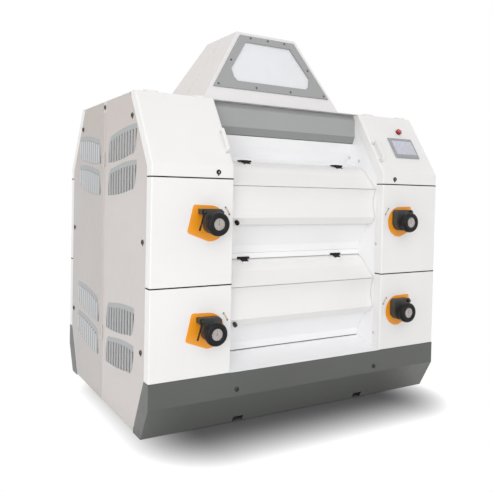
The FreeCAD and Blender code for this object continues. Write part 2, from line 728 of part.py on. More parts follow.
def roof_panel(lid_hinge_parts):
    """Flat roof with the hood opening; it carries the fixed knuckles of the four lids."""
    sheet = box((BODY_LENGTH, 2 * (ROOF_Y - 7), SHEET), (0, 0, BODY_HEIGHT - SHEET / 2))
    opening = box((*ROOF_OPENING, 3 * SHEET), (0, 0, BODY_HEIGHT))
    knuckles = []
    for _, side in SIDES:
        for _, face in FACES:
            knuckles += [mirrored(s, side, face) for s in lid_hinge_parts]
    return joined([sheet.cut(opening)] + knuckles)


# Hood


def hood_corners(z, inset):
    """Four corners of the hood at a height, counter-clockwise; inset moves every wall inward."""
    t = (z - BODY_HEIGHT) / (HOOD_TOP_Z - BODY_HEIGHT)
    x = HOOD_FOOT[0] + (HOOD_HEAD[0] - HOOD_FOOT[0]) * t - inset
    y = HOOD_FOOT[1] + (HOOD_HEAD[1] - HOOD_FOOT[1]) * t - inset
    return [Vector(x, y, z), Vector(-x, y, z), Vector(-x, -y, z), Vector(x, -y, z)]


def frustum(inset, z_low, z_high):
    """Solid with the hood's slanted walls."""
    low, high = hood_corners(z_low, inset), hood_corners(z_high, inset)
    loops = [low, high]
    for number in range(4):
        after = (number + 1) % 4
        loops.append([low[number], low[after], high[after], high[number]])
    faces = [Part.Face(Part.makePolygon(loop + [loop[0]])) for loop in loops]
    return Part.makeSolid(Part.makeShell(faces))


def hood_tilt():
    return math.atan2(HOOD_FOOT[1] - HOOD_HEAD[1], HOOD_TOP_Z - BODY_HEIGHT)


def on_hood_front(shape):
    """Places a solid made with X along, Z up the face and -Y outward on the hood's front face."""
    shape = shape.copy()
    turn = Rotation(Vector(1, 0, 0), -math.degrees(hood_tilt()))
    shape.Placement = FreeCAD.Placement(Vector(0, -HOOD_FOOT[1], BODY_HEIGHT), turn)
    return shape


def face_prism(points, y_out, y_in):
    """Symmetric outline given by its right-hand points, extruded between two depths."""
    outline = list(points) + [(-x, z) for x, z in reversed(points)]
    face = Part.Face(path(on_y, *outline, outline[0]))
    face.translate(Vector(0, y_out, 0))
    return face.extrude(Vector(0, y_in - y_out, 0))


def grown(points, margin):
    """Outline moved outward by a margin, along rays from its middle."""
    middle = sum(z for _, z in points) / len(points)
    return [(x + margin, z + (margin if z > middle else -margin)) for x, z in points]


def build_hood():
    outer = frustum(0.0, BODY_HEIGHT, HOOD_TOP_Z)
    inner = frustum(SHEET, BODY_HEIGHT, HOOD_TOP_Z - SHEET)
    foot = box((2 * HOOD_FOOT[0] - 2 * SHEET, 2 * HOOD_FOOT[1] - 2 * SHEET, 3 * SHEET), (0, 0, BODY_HEIGHT))
    shell = outer.cut(inner).cut(foot.common(inner))
    hole = on_hood_front(face_prism(WINDOW_HOLE, -4 * SHEET, 8 * SHEET))
    back_hole = hole.mirror(Vector(0, 0, 0), Vector(0, 1, 0))
    cuts = [hole, back_hole]
    for face in (-1, 1):
        y = face * INLET_Y
        cuts.append(rod(INLET_RADIUS, (0, y, HOOD_TOP_Z - 2 * SHEET), (0, y, HOOD_TOP_Z + 2 * SHEET)))
    export("hood_shell", shell.cut(Part.makeCompound(cuts)))
    rim = face_prism((WINDOW_FOOT, WINDOW_HEAD), -WINDOW_PROUD, 0)
    opening = face_prism(WINDOW_HOLE, -4 * SHEET, 4 * SHEET)
    frame = on_hood_front(rim.cut(opening))
    wall = SHEET * math.cos(hood_tilt())
    pane = face_prism(grown(WINDOW_HOLE, GLASS_MARGIN), wall + SEAT, wall + SEAT + GLASS_THICKNESS)
    pane = on_hood_front(pane)
    export("window_frames", frame, frame.mirror(Vector(0, 0, 0), Vector(0, 1, 0)))
    export("hood_glasses", pane, pane.mirror(Vector(0, 0, 0), Vector(0, 1, 0)))


# Front sheets between the columns


def cross_beam():
    """Grey folded beam between the columns."""
    outline = front([(y, BODY_HEIGHT - drop) for y, drop in BEAM_TOP + BEAM_FOOT])
    return folded_sheet(outline, -SHEET, 0, INNER_LENGTH)


def shelf_rise(depth):
    """Height that the shelf behind a flap gains over a depth."""
    return depth * (SHELF_BACK[1] - SHELF_FRONT[1]) / (SHELF_FRONT[0] - SHELF_BACK[0])


def throat_sheets():
    """Fixed sheets behind and below the covers, and the sloped sill on the skirt, front side."""
    folds = front((THROAT_TOP, THROAT_KNEE, SHELF_BACK, SHELF_FRONT))
    upper = folded_sheet(folds, -SHEET, 0, INNER_LENGTH)
    shelf_front = (SHELF_FRONT[0], SHELF_FRONT[1] - DECK_PITCH)
    corner = (SHELF_CORNER, shelf_front[1] + shelf_rise(SHELF_FRONT[0] - SHELF_CORNER))
    flange = (SHELF_CORNER, UNDERCUT_FOOT[1] - 2 * SHEET)
    outline = (UNDERCUT_TOP, UNDERCUT_KNEE, UNDERCUT_FOOT, flange, corner, shelf_front)
    middle = folded_sheet(front(outline), -SHEET, 0, INNER_LENGTH)
    outline = [(y, z - DECK_PITCH) for y, z in (UNDERCUT_TOP, UNDERCUT_KNEE, UNDERCUT_FOOT)]
    lower = folded_sheet(front(outline), -SHEET, 0, INNER_LENGTH)
    seat_z = SKIRT_TOP_Z + SEAT
    sill_back = (-UNDERCUT_FOOT[0] - SEAT, TOE_REAR_Z - SEAT)
    outline = [(-HALF_D, seat_z), (-HALF_D, seat_z + SHEET), sill_back]
    outline += [(sill_back[0], sill_back[1] - SHEET), (-HALF_D + SHEET, seat_z)]
    sill = prism_x(outline, 0, INNER_LENGTH)
    return [upper, middle, lower, sill]


def roll_cover():
    """Upper front roll cover: curved sheet, pull lip and two end cheeks that turn on pins."""
    profile = front((COVER_TOP, (COVER_WAIST, COVER_LIP_TOP), COVER_LIP_FOOT, COVER_LIP_BACK))
    sheet = folded_sheet(profile, -SHEET, 0, COVER_LENGTH)
    inner_top = (COVER_TOP[0] - 45, COVER_TOP[1] - 6)
    cheek_back = (COVER_LIP_BACK[0], COVER_LIP_BACK[1] + SHEET)
    cheek_points = front((COVER_TOP, inner_top, cheek_back, COVER_LIP_FOOT, COVER_LIP_TOP))
    waist, top = front((COVER_WAIST, COVER_TOP))
    blank = Part.Face(path(on_x, *cheek_points, (waist, top)))
    cheeks = [along_x(blank, side * (COVER_LENGTH / 2 - SHEET / 2), SHEET) for side in (-1, 1)]
    hole = rod_x(COVER_PIN + RUNNING_FIT, -COVER_PIVOT[0], COVER_PIVOT[1], -HALF_L, BODY_LENGTH)
    knob_z = (COVER_LIP_TOP[1] + COVER_LIP_FOOT[1]) / 2
    knob_y = (COVER_LIP_TOP[0] + COVER_LIP_FOOT[0]) / 2
    knob = rod(KNOB_RADIUS, (-KNOB_X, -knob_y, knob_z), (-KNOB_X, -knob_y - 20, knob_z - 14))
    return joined([sheet] + cheeks + [knob]).cut(hole)


def feed_flap():
    """Upper front flap: convex sheet with end cheeks, clear of the turning edge of the cover below."""
    profile = front((FLAP_TOP, (FLAP_BULGE, FLAP_KNEE), FLAP_FOOT))
    sheet = folded_sheet(profile, -SHEET, 0, COVER_LENGTH)
    swing = math.dist(COVER_TOP, COVER_PIVOT) + 4 * SEAT
    hem, top = front(((FLAP_FOOT[0] - 20, COVER_PIVOT[1] + swing), FLAP_TOP))
    blank = Part.Face(path(on_x, *profile, hem, top))
    cheeks = [along_x(blank, side * (COVER_LENGTH / 2 - SHEET / 2), SHEET) for side in (-1, 1)]
    return joined([sheet] + cheeks)


def flap_hinge(x):
    """Black hinge on the fold: leaf and tube on the flap, leaf, lugs and pin on the shelf."""
    y, z = -FLAP_AXIS[0], FLAP_AXIS[1]
    pin, knuckle = FLAP_PIN, FLAP_KNUCKLE
    width = FLAP_HINGE_WIDTH
    middle = width / 2
    foot = front((FLAP_TOP,))[0]
    bulge = front((FLAP_BULGE,))[0]
    leaf = prism_x([foot, bulge, (bulge[0] - 2, bulge[1] + 5), (y - knuckle + 1, z), (y, z)], x, middle)
    tube = rod_x(knuckle, y, z, x - middle / 2, middle)
    bore = rod_x(pin + RUNNING_FIT, y, z, x - middle, width)
    moving = joined([leaf, tube]).cut(bore)
    shelf = front((SHELF_FRONT,))[0]
    back = (shelf[0] + FLAP_HINGE_LEAF, shelf[1] + shelf_rise(FLAP_HINGE_LEAF))
    crest = (back[0], back[1] + pin + 1)
    lug = [shelf, back, crest, (y + knuckle, z + knuckle - 1), (y - pin - 1, z + knuckle - 1)]
    lug += [(y - pin - 1, z - pin - 1)]
    gap = box((middle + 2 * SEAT, 2 * knuckle + 2, 6 * knuckle), (x, y, z))
    rod_pin = rod_x(pin, y, z, x - middle, width)
    return moving, joined([prism_x(lug, x, width).cut(gap), rod_pin])


def build_fronts():
    cover = roll_cover()
    flap = feed_flap()
    hinge_sets = [flap_hinge(x) for x in (-FLAP_HINGE_X, FLAP_HINGE_X)]
    moving = [m for m, _ in hinge_sets]
    fixed = [f for _, f in hinge_sets]
    all_fixed = []
    for deck_name, drop in DECKS:
        for face_name, face in FACES:
            name = deck_name + "_" + face_name
            export("roll_cover_" + name, mirrored(shifted(cover, z=drop), 1, face))
            export("feed_flap_" + name, *(mirrored(shifted(s, z=drop), 1, face) for s in [flap] + moving))
            all_fixed += [mirrored(shifted(s, z=drop), 1, face) for s in fixed]
    export("flap_hinges", *all_fixed)
    beams = [mirrored(cross_beam(), 1, face) for _, face in FACES]
    export("cross_beams", *beams)
    export("throat_sheets", *[mirrored(s, 1, face) for s in throat_sheets() for _, face in FACES])


# Rolls, bearings and feed rolls


def roll(y, z, fast):
    """Chilled roll with its journals; a fast roll carries a belt pulley at the left end."""
    half = ROLL_LENGTH / 2
    start = WALL_X + SIDE_PLATE
    right_end = start + GEAR_CASE_LENGTH - GEAR_CASE_WALL
    left_end = PULLEY_START + PULLEY_WIDTH if fast else start + HOUSING_LENGTH + JOURNAL_TAIL
    pieces = [rod_x(ROLL_RADIUS, y, z, -half, ROLL_LENGTH)]
    pieces.append(rod_x(JOURNAL_RADIUS, y, z, -left_end, left_end + right_end))
    if fast:
        pieces.append(rod_x(PULLEY_RADIUS, y, z, -PULLEY_START - PULLEY_WIDTH, PULLEY_WIDTH))
    return joined(pieces)


def bearing_case(z, length):
    """Chamfered case on the right side plate, round both journals of a front roll pair."""
    c, h = HOUSING_CHAMFER, HOUSING_HALF
    back, ahead = -FAST_ROLL_Y + h, -SLOW_ROLL_Y - h
    points = [(back, z - h + c), (back, z + h - c), (back - c, z + h), (ahead + c, z + h)]
    points += [(ahead, z + h - c), (ahead, z - h + c), (ahead + c, z - h), (back - c, z - h)]
    return prism_x(points, WALL_X + SIDE_PLATE + length / 2, length)


def adjusting_arm(z):
    """Forward arm of a bearing case with the hole for the adjuster spindle."""
    start_y = -SLOW_ROLL_Y - HOUSING_HALF + 1
    middle = (WHEEL_X, (start_y - ARM_FRONT_Y) / 2, z)
    arm = box((2 * ARM_HALF, ARM_FRONT_Y + start_y, 2 * ARM_HALF), middle)
    hole_start, hole_end = (WHEEL_X, -ARM_FRONT_Y - 1, z), (WHEEL_X, -SPINDLE_END_Y + SEAT, z)
    hole = rod(SPINDLE_RADIUS + RUNNING_FIT, hole_start, hole_end)
    return arm, hole


def bearing_housings():
    """Left: open cases. Right: longer gear cases, closed at their outer end."""
    solids = []
    start = WALL_X + SIDE_PLATE
    bore = JOURNAL_RADIUS + RUNNING_FIT
    for _, drop in DECKS:
        z = UPPER_ROLL_Z + drop
        arm, hole = adjusting_arm(z)
        for side, length, depth in (
            (-1, HOUSING_LENGTH, HOUSING_LENGTH),
            (1, GEAR_CASE_LENGTH, GEAR_CASE_LENGTH - GEAR_CASE_WALL + SEAT),
        ):
            case = joined([bearing_case(z, length), arm]).cut(hole)
            for y in (FAST_ROLL_Y, SLOW_ROLL_Y):
                case = case.cut(rod_x(bore, -y, z, start, depth))
            solids += [mirrored(case, side, face) for _, face in FACES]
    return solids


def feed_roll(face):
    half = WALL_X - FEED_ROLL_CLEAR
    reach = WALL_X + SIDE_PLATE + 2 * FEED_JOURNAL
    y = face * FEED_ROLL_Y
    body = rod_x(FEED_ROLL_RADIUS, y, FEED_ROLL_Z, -half, 2 * half)
    return joined([body, rod_x(FEED_JOURNAL, y, FEED_ROLL_Z, -reach, 2 * reach)])


def build_rolls():
    for deck_name, drop in DECKS:
        for face_name, face in FACES:
            z = UPPER_ROLL_Z + drop
            export("fast_roll_" + deck_name + "_" + face_name, roll(face * FAST_ROLL_Y, z, True))
            export("slow_roll_" + deck_name + "_" + face_name, roll(face * SLOW_ROLL_Y, z, False))
    for face_name, face in FACES:
        export("feed_roll_" + face_name, feed_roll(face))
    export("bearing_housings", *bearing_housings())


# Roll gap adjusters


def around_wheel(points, y_front, y_back):
    """Solid from an X-Z outline round the upper right wheel axis."""
    face = Part.Face(path(on_y, *points, points[0]))
    face.translate(Vector(WHEEL_X, y_front, UPPER_ROLL_Z))
    return face.extrude(Vector(0, y_back - y_front, 0))


def wheel_plate():
    """Orange plate: round on the inner side, slanted straight edge on the outer side."""
    r = PLATE_RADIUS
    foot_x = 10.0
    points = [(foot_x, -math.sqrt(r * r - foot_x * foot_x)), ((-r, 0), (0, r))]
    points += [PLATE_OUTER_TOP, PLATE_OUTER_FOOT]
    wire = path(on_y, *points, points[0])
    face = Part.Face(wire)
    face.translate(Vector(WHEEL_X, -HALF_D, UPPER_ROLL_Z))
    plate = face.extrude(Vector(0, -SHEET, 0))
    edges = []
    for corner in (PLATE_OUTER_TOP, PLATE_OUTER_FOOT):
        for edge in plate.Edges:
            c = edge.CenterOfMass
            if edge.BoundBox.XLength < 0.01 and edge.BoundBox.ZLength < 0.01:
                if abs(c.x - WHEEL_X - corner[0]) < 0.1 and abs(c.z - UPPER_ROLL_Z - corner[1]) < 0.1:
                    edges.append(edge)
    plate = plate.makeFillet(PLATE_CORNER, edges)
    return plate.cut(wheel_rod(SPINDLE_HOLE, -HALF_D - 10, -HALF_D + 10))


def wheel_rod(radius, y_front, y_back, x=0.0, z=0.0):
    x, z = WHEEL_X + x, UPPER_ROLL_Z + z
    return rod(radius, (x, y_front, z), (x, y_back, z))


def adjuster_housing():
    """Dark housing on the plate: round body with the spindle's bore and an ear for the clamp lever."""
    r, outer = ADJUSTER_INNER, ADJUSTER_OUTER
    ear_x, ear_z = LEVER_OFFSET
    back = -HALF_D - SHEET
    face_y = back - ADJUSTER_DEPTH
    edge = 14.0
    points = [(-r, 0), (((outer - r) / 2, -(outer + r) / 2), (outer, 0)), (outer, ear_z - edge)]
    points += [(ear_x + edge, ear_z - edge), (ear_x + edge, ear_z + edge)]
    points += [(-r + 16, ear_z + edge), (-r, ear_z)]
    body = around_wheel(points, face_y, back)
    stud = wheel_rod(LEVER_STUD, face_y, face_y - 16.0, ear_x, ear_z)
    bore = wheel_rod(SPINDLE_RADIUS + RUNNING_FIT, face_y - 1, back + 1)
    return joined([body, stud]).cut(bore)


def handwheel():
    """Handwheel on its spindle: dished rim, hub and a recessed dial face."""
    front_y = -HALF_D - WHEEL_STANDOFF - WHEEL_WIDTH
    hub_back = -HALF_D - SHEET - ADJUSTER_DEPTH - 2.0
    r, w = WHEEL_RADIUS, WHEEL_WIDTH
    c = WHEEL_CHAMFER
    section = [(0, DIAL_RECESS), (DIAL_RADIUS, DIAL_RECESS), (DIAL_RADIUS, 0)]
    section += [(r - c, 0), (r, c), (r, w - c)]
    hub_end, spindle_end = hub_back - front_y, -SPINDLE_END_Y - front_y
    section += [(r - c, w), (WHEEL_HUB, w - c), (WHEEL_HUB, hub_end), (SPINDLE_RADIUS, hub_end)]
    section += [(SPINDLE_RADIUS, spindle_end), (0, spindle_end)]
    face = Part.Face(path(on_z, *section, section[0]))
    wheel = face.revolve(Vector(0, 0, 0), Vector(0, 1, 0), 360)
    wheel.translate(Vector(WHEEL_X, front_y, UPPER_ROLL_Z))
    return wheel


def clamp_lever():
    """Clamp lever that hangs beside the wheel: round head on the stud, tapered arm, round tip."""
    ear_x, ear_z = LEVER_OFFSET
    y_back = -HALF_D - SHEET - ADJUSTER_DEPTH - SEAT
    y_front = y_back - LEVER_WIDTH
    h, tip, foot = LEVER_HUB, LEVER_TIP, -LEVER_LENGTH
    points = [(-h, 0), ((0, h), (h, 0)), (tip, foot), ((0, foot - tip), (-tip, foot)), (-h, 0)]
    arm = Part.Face(path(on_y, *points)).extrude(Vector(0, LEVER_WIDTH, 0))
    centre, along = Vector(0, 0, 0), Vector(0, 1, 0)
    lever = arm.cut(Part.makeCylinder(LEVER_STUD + RUNNING_FIT, LEVER_WIDTH, centre, along))
    lever.rotate(Vector(0, 0, 0), Vector(0, 1, 0), -LEVER_LEAN)
    lever.translate(Vector(WHEEL_X + ear_x, y_front, UPPER_ROLL_Z + ear_z))
    return lever


def build_adjusters():
    plates, housings = [], []
    plate, housing, wheel, lever = wheel_plate(), adjuster_housing(), handwheel(), clamp_lever()
    for deck_name, drop in DECKS:
        for side_name, side in SIDES:
            for face_name, face in FACES:
                name = deck_name + "_" + side_name + "_" + face_name
                placed = [mirrored(shifted(s, z=drop), side, face) for s in (plate, housing, wheel, lever)]
                plates.append(placed[0])
                housings.append(placed[1])
                export("handwheel_" + name, placed[2])
                export("clamp_lever_" + name, placed[3])
    export("wheel_plates", *plates)
    export("adjuster_housings", *housings)


def build_column_panels():
    """Two fixed covers under each lid; each lets one adjuster spindle through."""
    solids = []
    spans = (
        (PANEL_SEAM_Z + SEAM / 2, LID_SEAM_Z - SEAM / 2, UPPER_ROLL_Z),
        (SKIRT_TOP_Z + SEAM / 2, PANEL_SEAM_Z - SEAM / 2, LOWER_ROLL_Z),
    )
    for z_low, z_high, wheel_z in spans:
        hole = wheel_rod(SPINDLE_HOLE, -HALF_D - SHEET, -HALF_D + 2 * SHEET)
        hole = shifted(hole, z=wheel_z - UPPER_ROLL_Z)
        cover = column_cover(z_low, z_high).cut(hole)
        solids += [mirrored(cover, side, face) for _, side in SIDES for _, face in FACES]
    export("column_panels", *solids)


# Touch panel and emergency button


def touch_panel():
    """Framed screen on the front right lid."""
    across, down = PANEL_SIZE
    body = box((down, across, PANEL_PROUD), (0, 0, PANEL_PROUD / 2))
    top = [e for e in body.Edges if abs(e.BoundBox.ZMin - PANEL_PROUD) < 0.01]
    body = body.makeChamfer(PANEL_CHAMFER, top)
    screen = box((SCREEN_SIZE[1], SCREEN_SIZE[0], 2 * SCREEN_RECESS), (0, 0, PANEL_PROUD))
    return placed_on_slope(body.cut(screen), PANEL_X, PANEL_MIDDLE)


def emergency_button():
    """Mushroom button with its stem, made with its travel free above the lid."""
    stem = Part.makeCylinder(BUTTON_STEM, 30.0, Vector(0, 0, -20.0), Vector(0, 0, 1))
    section = [(0, 8.0), (BUTTON_RADIUS, 8.0), (BUTTON_RADIUS, 15.0)]
    section += [(BUTTON_RADIUS * 0.6, 21.0), (0, 21.0)]
    face = Part.Face(path(on_y, *section, section[0]))
    head = face.revolve(Vector(0, 0, 0), Vector(0, 0, 1), 360)
    return placed_on_slope(joined([stem, head]), BUTTON_X, BUTTON_MIDDLE)


def button_hole():
    hole = Part.makeCylinder(BUTTON_STEM + RUNNING_FIT, 20.0, Vector(0, 0, -10.0), Vector(0, 0, 1))
    return placed_on_slope(hole, BUTTON_X, BUTTON_MIDDLE)


# Chutes inside the machine


def product_chutes():
    """Feed divider under the hood and one discharge hopper per side."""
    foot_y, foot_z = DIVIDER_FOOT
    ridge = (0, BODY_HEIGHT - DIVIDER_DROP)
    divider = folded_sheet([(-foot_y, foot_z), ridge, (foot_y, foot_z)], SHEET, 0, INNER_LENGTH)
    half, rim_z = OUTLET_WIDTH / 2, BASE_HEIGHT - BASE_PLATE
    inner_path = front((CHUTE_TOP[0], (OUTLET_Y - half, CHUTE_FOOT_Z), (OUTLET_Y - half, rim_z)))
    outer_path = front((CHUTE_TOP[1], (OUTLET_Y + half, CHUTE_FOOT_Z), (OUTLET_Y + half, rim_z)))
    inner = folded_sheet(inner_path, SHEET, 0, OUTLET_LENGTH)
    outer = folded_sheet(outer_path, -SHEET, 0, OUTLET_LENGTH)
    outline = inner_path + outer_path[::-1]
    ends = [prism_x(outline, side * (OUTLET_LENGTH / 2 - SHEET / 2), SHEET) for side in (-1, 1)]
    hopper = joined([inner, outer] + ends)
    return [divider, hopper, mirrored(hopper, 1, 1)]


def main():
    os.makedirs("parts", exist_ok=True)
    lid_knuckles = build_lids()
    door_knuckles = build_end_doors()
    right_end = end_plate(door_knuckles)
    export("end_plates", right_end, mirrored(right_end, -1, -1))
    right_side = side_plate()
    export("side_plates", right_side, mirrored(right_side, -1, -1))
    export("base_frame", base_frame())
    skirt = base_skirt()
    export("base_skirts", skirt, mirrored(skirt, 1, 1))
    export("roof_panel", roof_panel(lid_knuckles))
    build_column_panels()
    build_hood()
    build_fronts()
    build_rolls()
    build_adjusters()
    export("touch_panel", touch_panel())
    export("emergency_button", emergency_button())
    export("product_chutes", *product_chutes())


main()
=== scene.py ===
"""Dresses the eight-roll powder mill: finishes, handwheels, dials, grilles, fasteners, and a plain studio."""

import json
import logging
import math
from dataclasses import dataclass
from enum import Enum
from typing import Callable, Iterator, Sequence

import bmesh
import bpy
from mathutils import Matrix, Vector

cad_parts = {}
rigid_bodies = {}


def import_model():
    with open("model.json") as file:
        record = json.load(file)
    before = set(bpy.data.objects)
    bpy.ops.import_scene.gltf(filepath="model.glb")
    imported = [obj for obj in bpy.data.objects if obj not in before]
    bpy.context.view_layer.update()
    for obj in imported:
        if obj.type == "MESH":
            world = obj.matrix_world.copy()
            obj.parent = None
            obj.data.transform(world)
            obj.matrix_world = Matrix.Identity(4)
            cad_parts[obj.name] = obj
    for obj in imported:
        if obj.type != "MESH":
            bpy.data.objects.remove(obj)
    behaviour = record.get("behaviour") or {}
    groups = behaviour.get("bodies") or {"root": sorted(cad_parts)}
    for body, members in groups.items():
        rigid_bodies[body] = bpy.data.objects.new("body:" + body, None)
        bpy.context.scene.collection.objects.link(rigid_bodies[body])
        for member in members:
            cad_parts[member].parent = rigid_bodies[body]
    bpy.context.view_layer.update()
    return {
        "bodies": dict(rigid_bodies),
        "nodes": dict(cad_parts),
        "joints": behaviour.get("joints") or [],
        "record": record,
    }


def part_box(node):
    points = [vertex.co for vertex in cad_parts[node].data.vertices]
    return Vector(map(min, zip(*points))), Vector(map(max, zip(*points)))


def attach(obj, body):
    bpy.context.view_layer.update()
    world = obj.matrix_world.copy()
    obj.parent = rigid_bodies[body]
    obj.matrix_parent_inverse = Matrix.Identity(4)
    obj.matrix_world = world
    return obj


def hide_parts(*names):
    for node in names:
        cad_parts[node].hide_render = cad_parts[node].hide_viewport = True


LOG = logging.getLogger("powder_mill")
METRES = 0.001
SHARP = math.radians(38)

Point2 = tuple[float, float]
Colour = tuple[float, float, float]
Ripple = Callable[[float, float], float]


def shade(red: float, green: float, blue: float) -> Colour:
    """Turns a colour as seen on a screen, 0 to 255, into the linear values that a shader takes."""
    parts = [channel / 255 for channel in (red, green, blue)]
    linear = [c / 12.92 if c <= 0.04045 else ((c + 0.055) / 1.055) ** 2.4 for c in parts]
    return linear[0], linear[1], linear[2]


class Side(Enum):
    """End of the machine, with the sign of X."""

    LEFT = -1
    RIGHT = 1


class Face(Enum):
    """Long face of the machine, with the sign of Y."""

    FRONT = -1
    REAR = 1


class Deck(Enum):
    """Grinding deck, with the height of its parts below the upper deck's."""

    UPPER = 0.0
    LOWER = 562.0


@dataclass(frozen=True)
class Quarter:
    """One of the four like quarters of the machine. Shapes are drawn for the right front one."""

    side: Side
    face: Face

    @property
    def name(self) -> str:
        """Words for piece and body names."""
        return f"{self.side.name}_{self.face.name}".lower()

    def mirror(self) -> Matrix:
        """Matrix that takes the right front quarter to this one."""
        return Matrix.Diagonal((self.side.value, -self.face.value, 1.0, 1.0))

    @staticmethod
    def every() -> Iterator["Quarter"]:
        """Goes through the four quarters."""
        for side in Side:
            for face in Face:
                yield Quarter(side, face)


def facing(point: Sequence[float], outward: Sequence[float], upward: Sequence[float] = (0, 0, 1)) -> Matrix:
    """Makes the frame of a small part that sits on a surface.

    Args:
        point: Where the part's own origin goes.
        outward: Direction that the part's own Z takes.
        upward: Direction that the part's own Y leans to.

    Returns:
        The frame as a matrix.
    """
    z_axis = Vector(outward).normalized()
    x_axis = Vector(upward).cross(z_axis)
    if x_axis.length < 1e-6:
        x_axis = Vector((1, 0, 0))
    x_axis.normalize()
    y_axis = z_axis.cross(x_axis)
    turn = Matrix((x_axis, y_axis, z_axis)).transposed().to_4x4()
    return Matrix.Translation(Vector(point)) @ turn


def arc_through(start: Point2, middle: Point2, end: Point2, steps: int) -> list[Point2]:
    """Points of the arc through three points, without its first point.

    Args:
        start: First point.
        middle: A point on the way.
        end: Last point.
        steps: Number of pieces.

    Returns:
        The points after the first.
    """
    (ax, ay), (bx, by), (cx, cy) = start, middle, end
    twice = 2 * (ax * (by - cy) + bx * (cy - ay) + cx * (ay - by))
    a2, b2, c2 = ax * ax + ay * ay, bx * bx + by * by, cx * cx + cy * cy
    ox = (a2 * (by - cy) + b2 * (cy - ay) + c2 * (ay - by)) / twice
    oy = (a2 * (cx - bx) + b2 * (ax - cx) + c2 * (bx - ax)) / twice
    radius = math.hypot(ax - ox, ay - oy)
    first, last = math.atan2(ay - oy, ax - ox), math.atan2(cy - oy, cx - ox)
    sweep = (last - first + math.pi) % (2 * math.pi) - math.pi
    points = []
    for step in range(1, steps + 1):
        angle = first + sweep * step / steps
        points.append((ox + radius * math.cos(angle), oy + radius * math.sin(angle)))
    return points


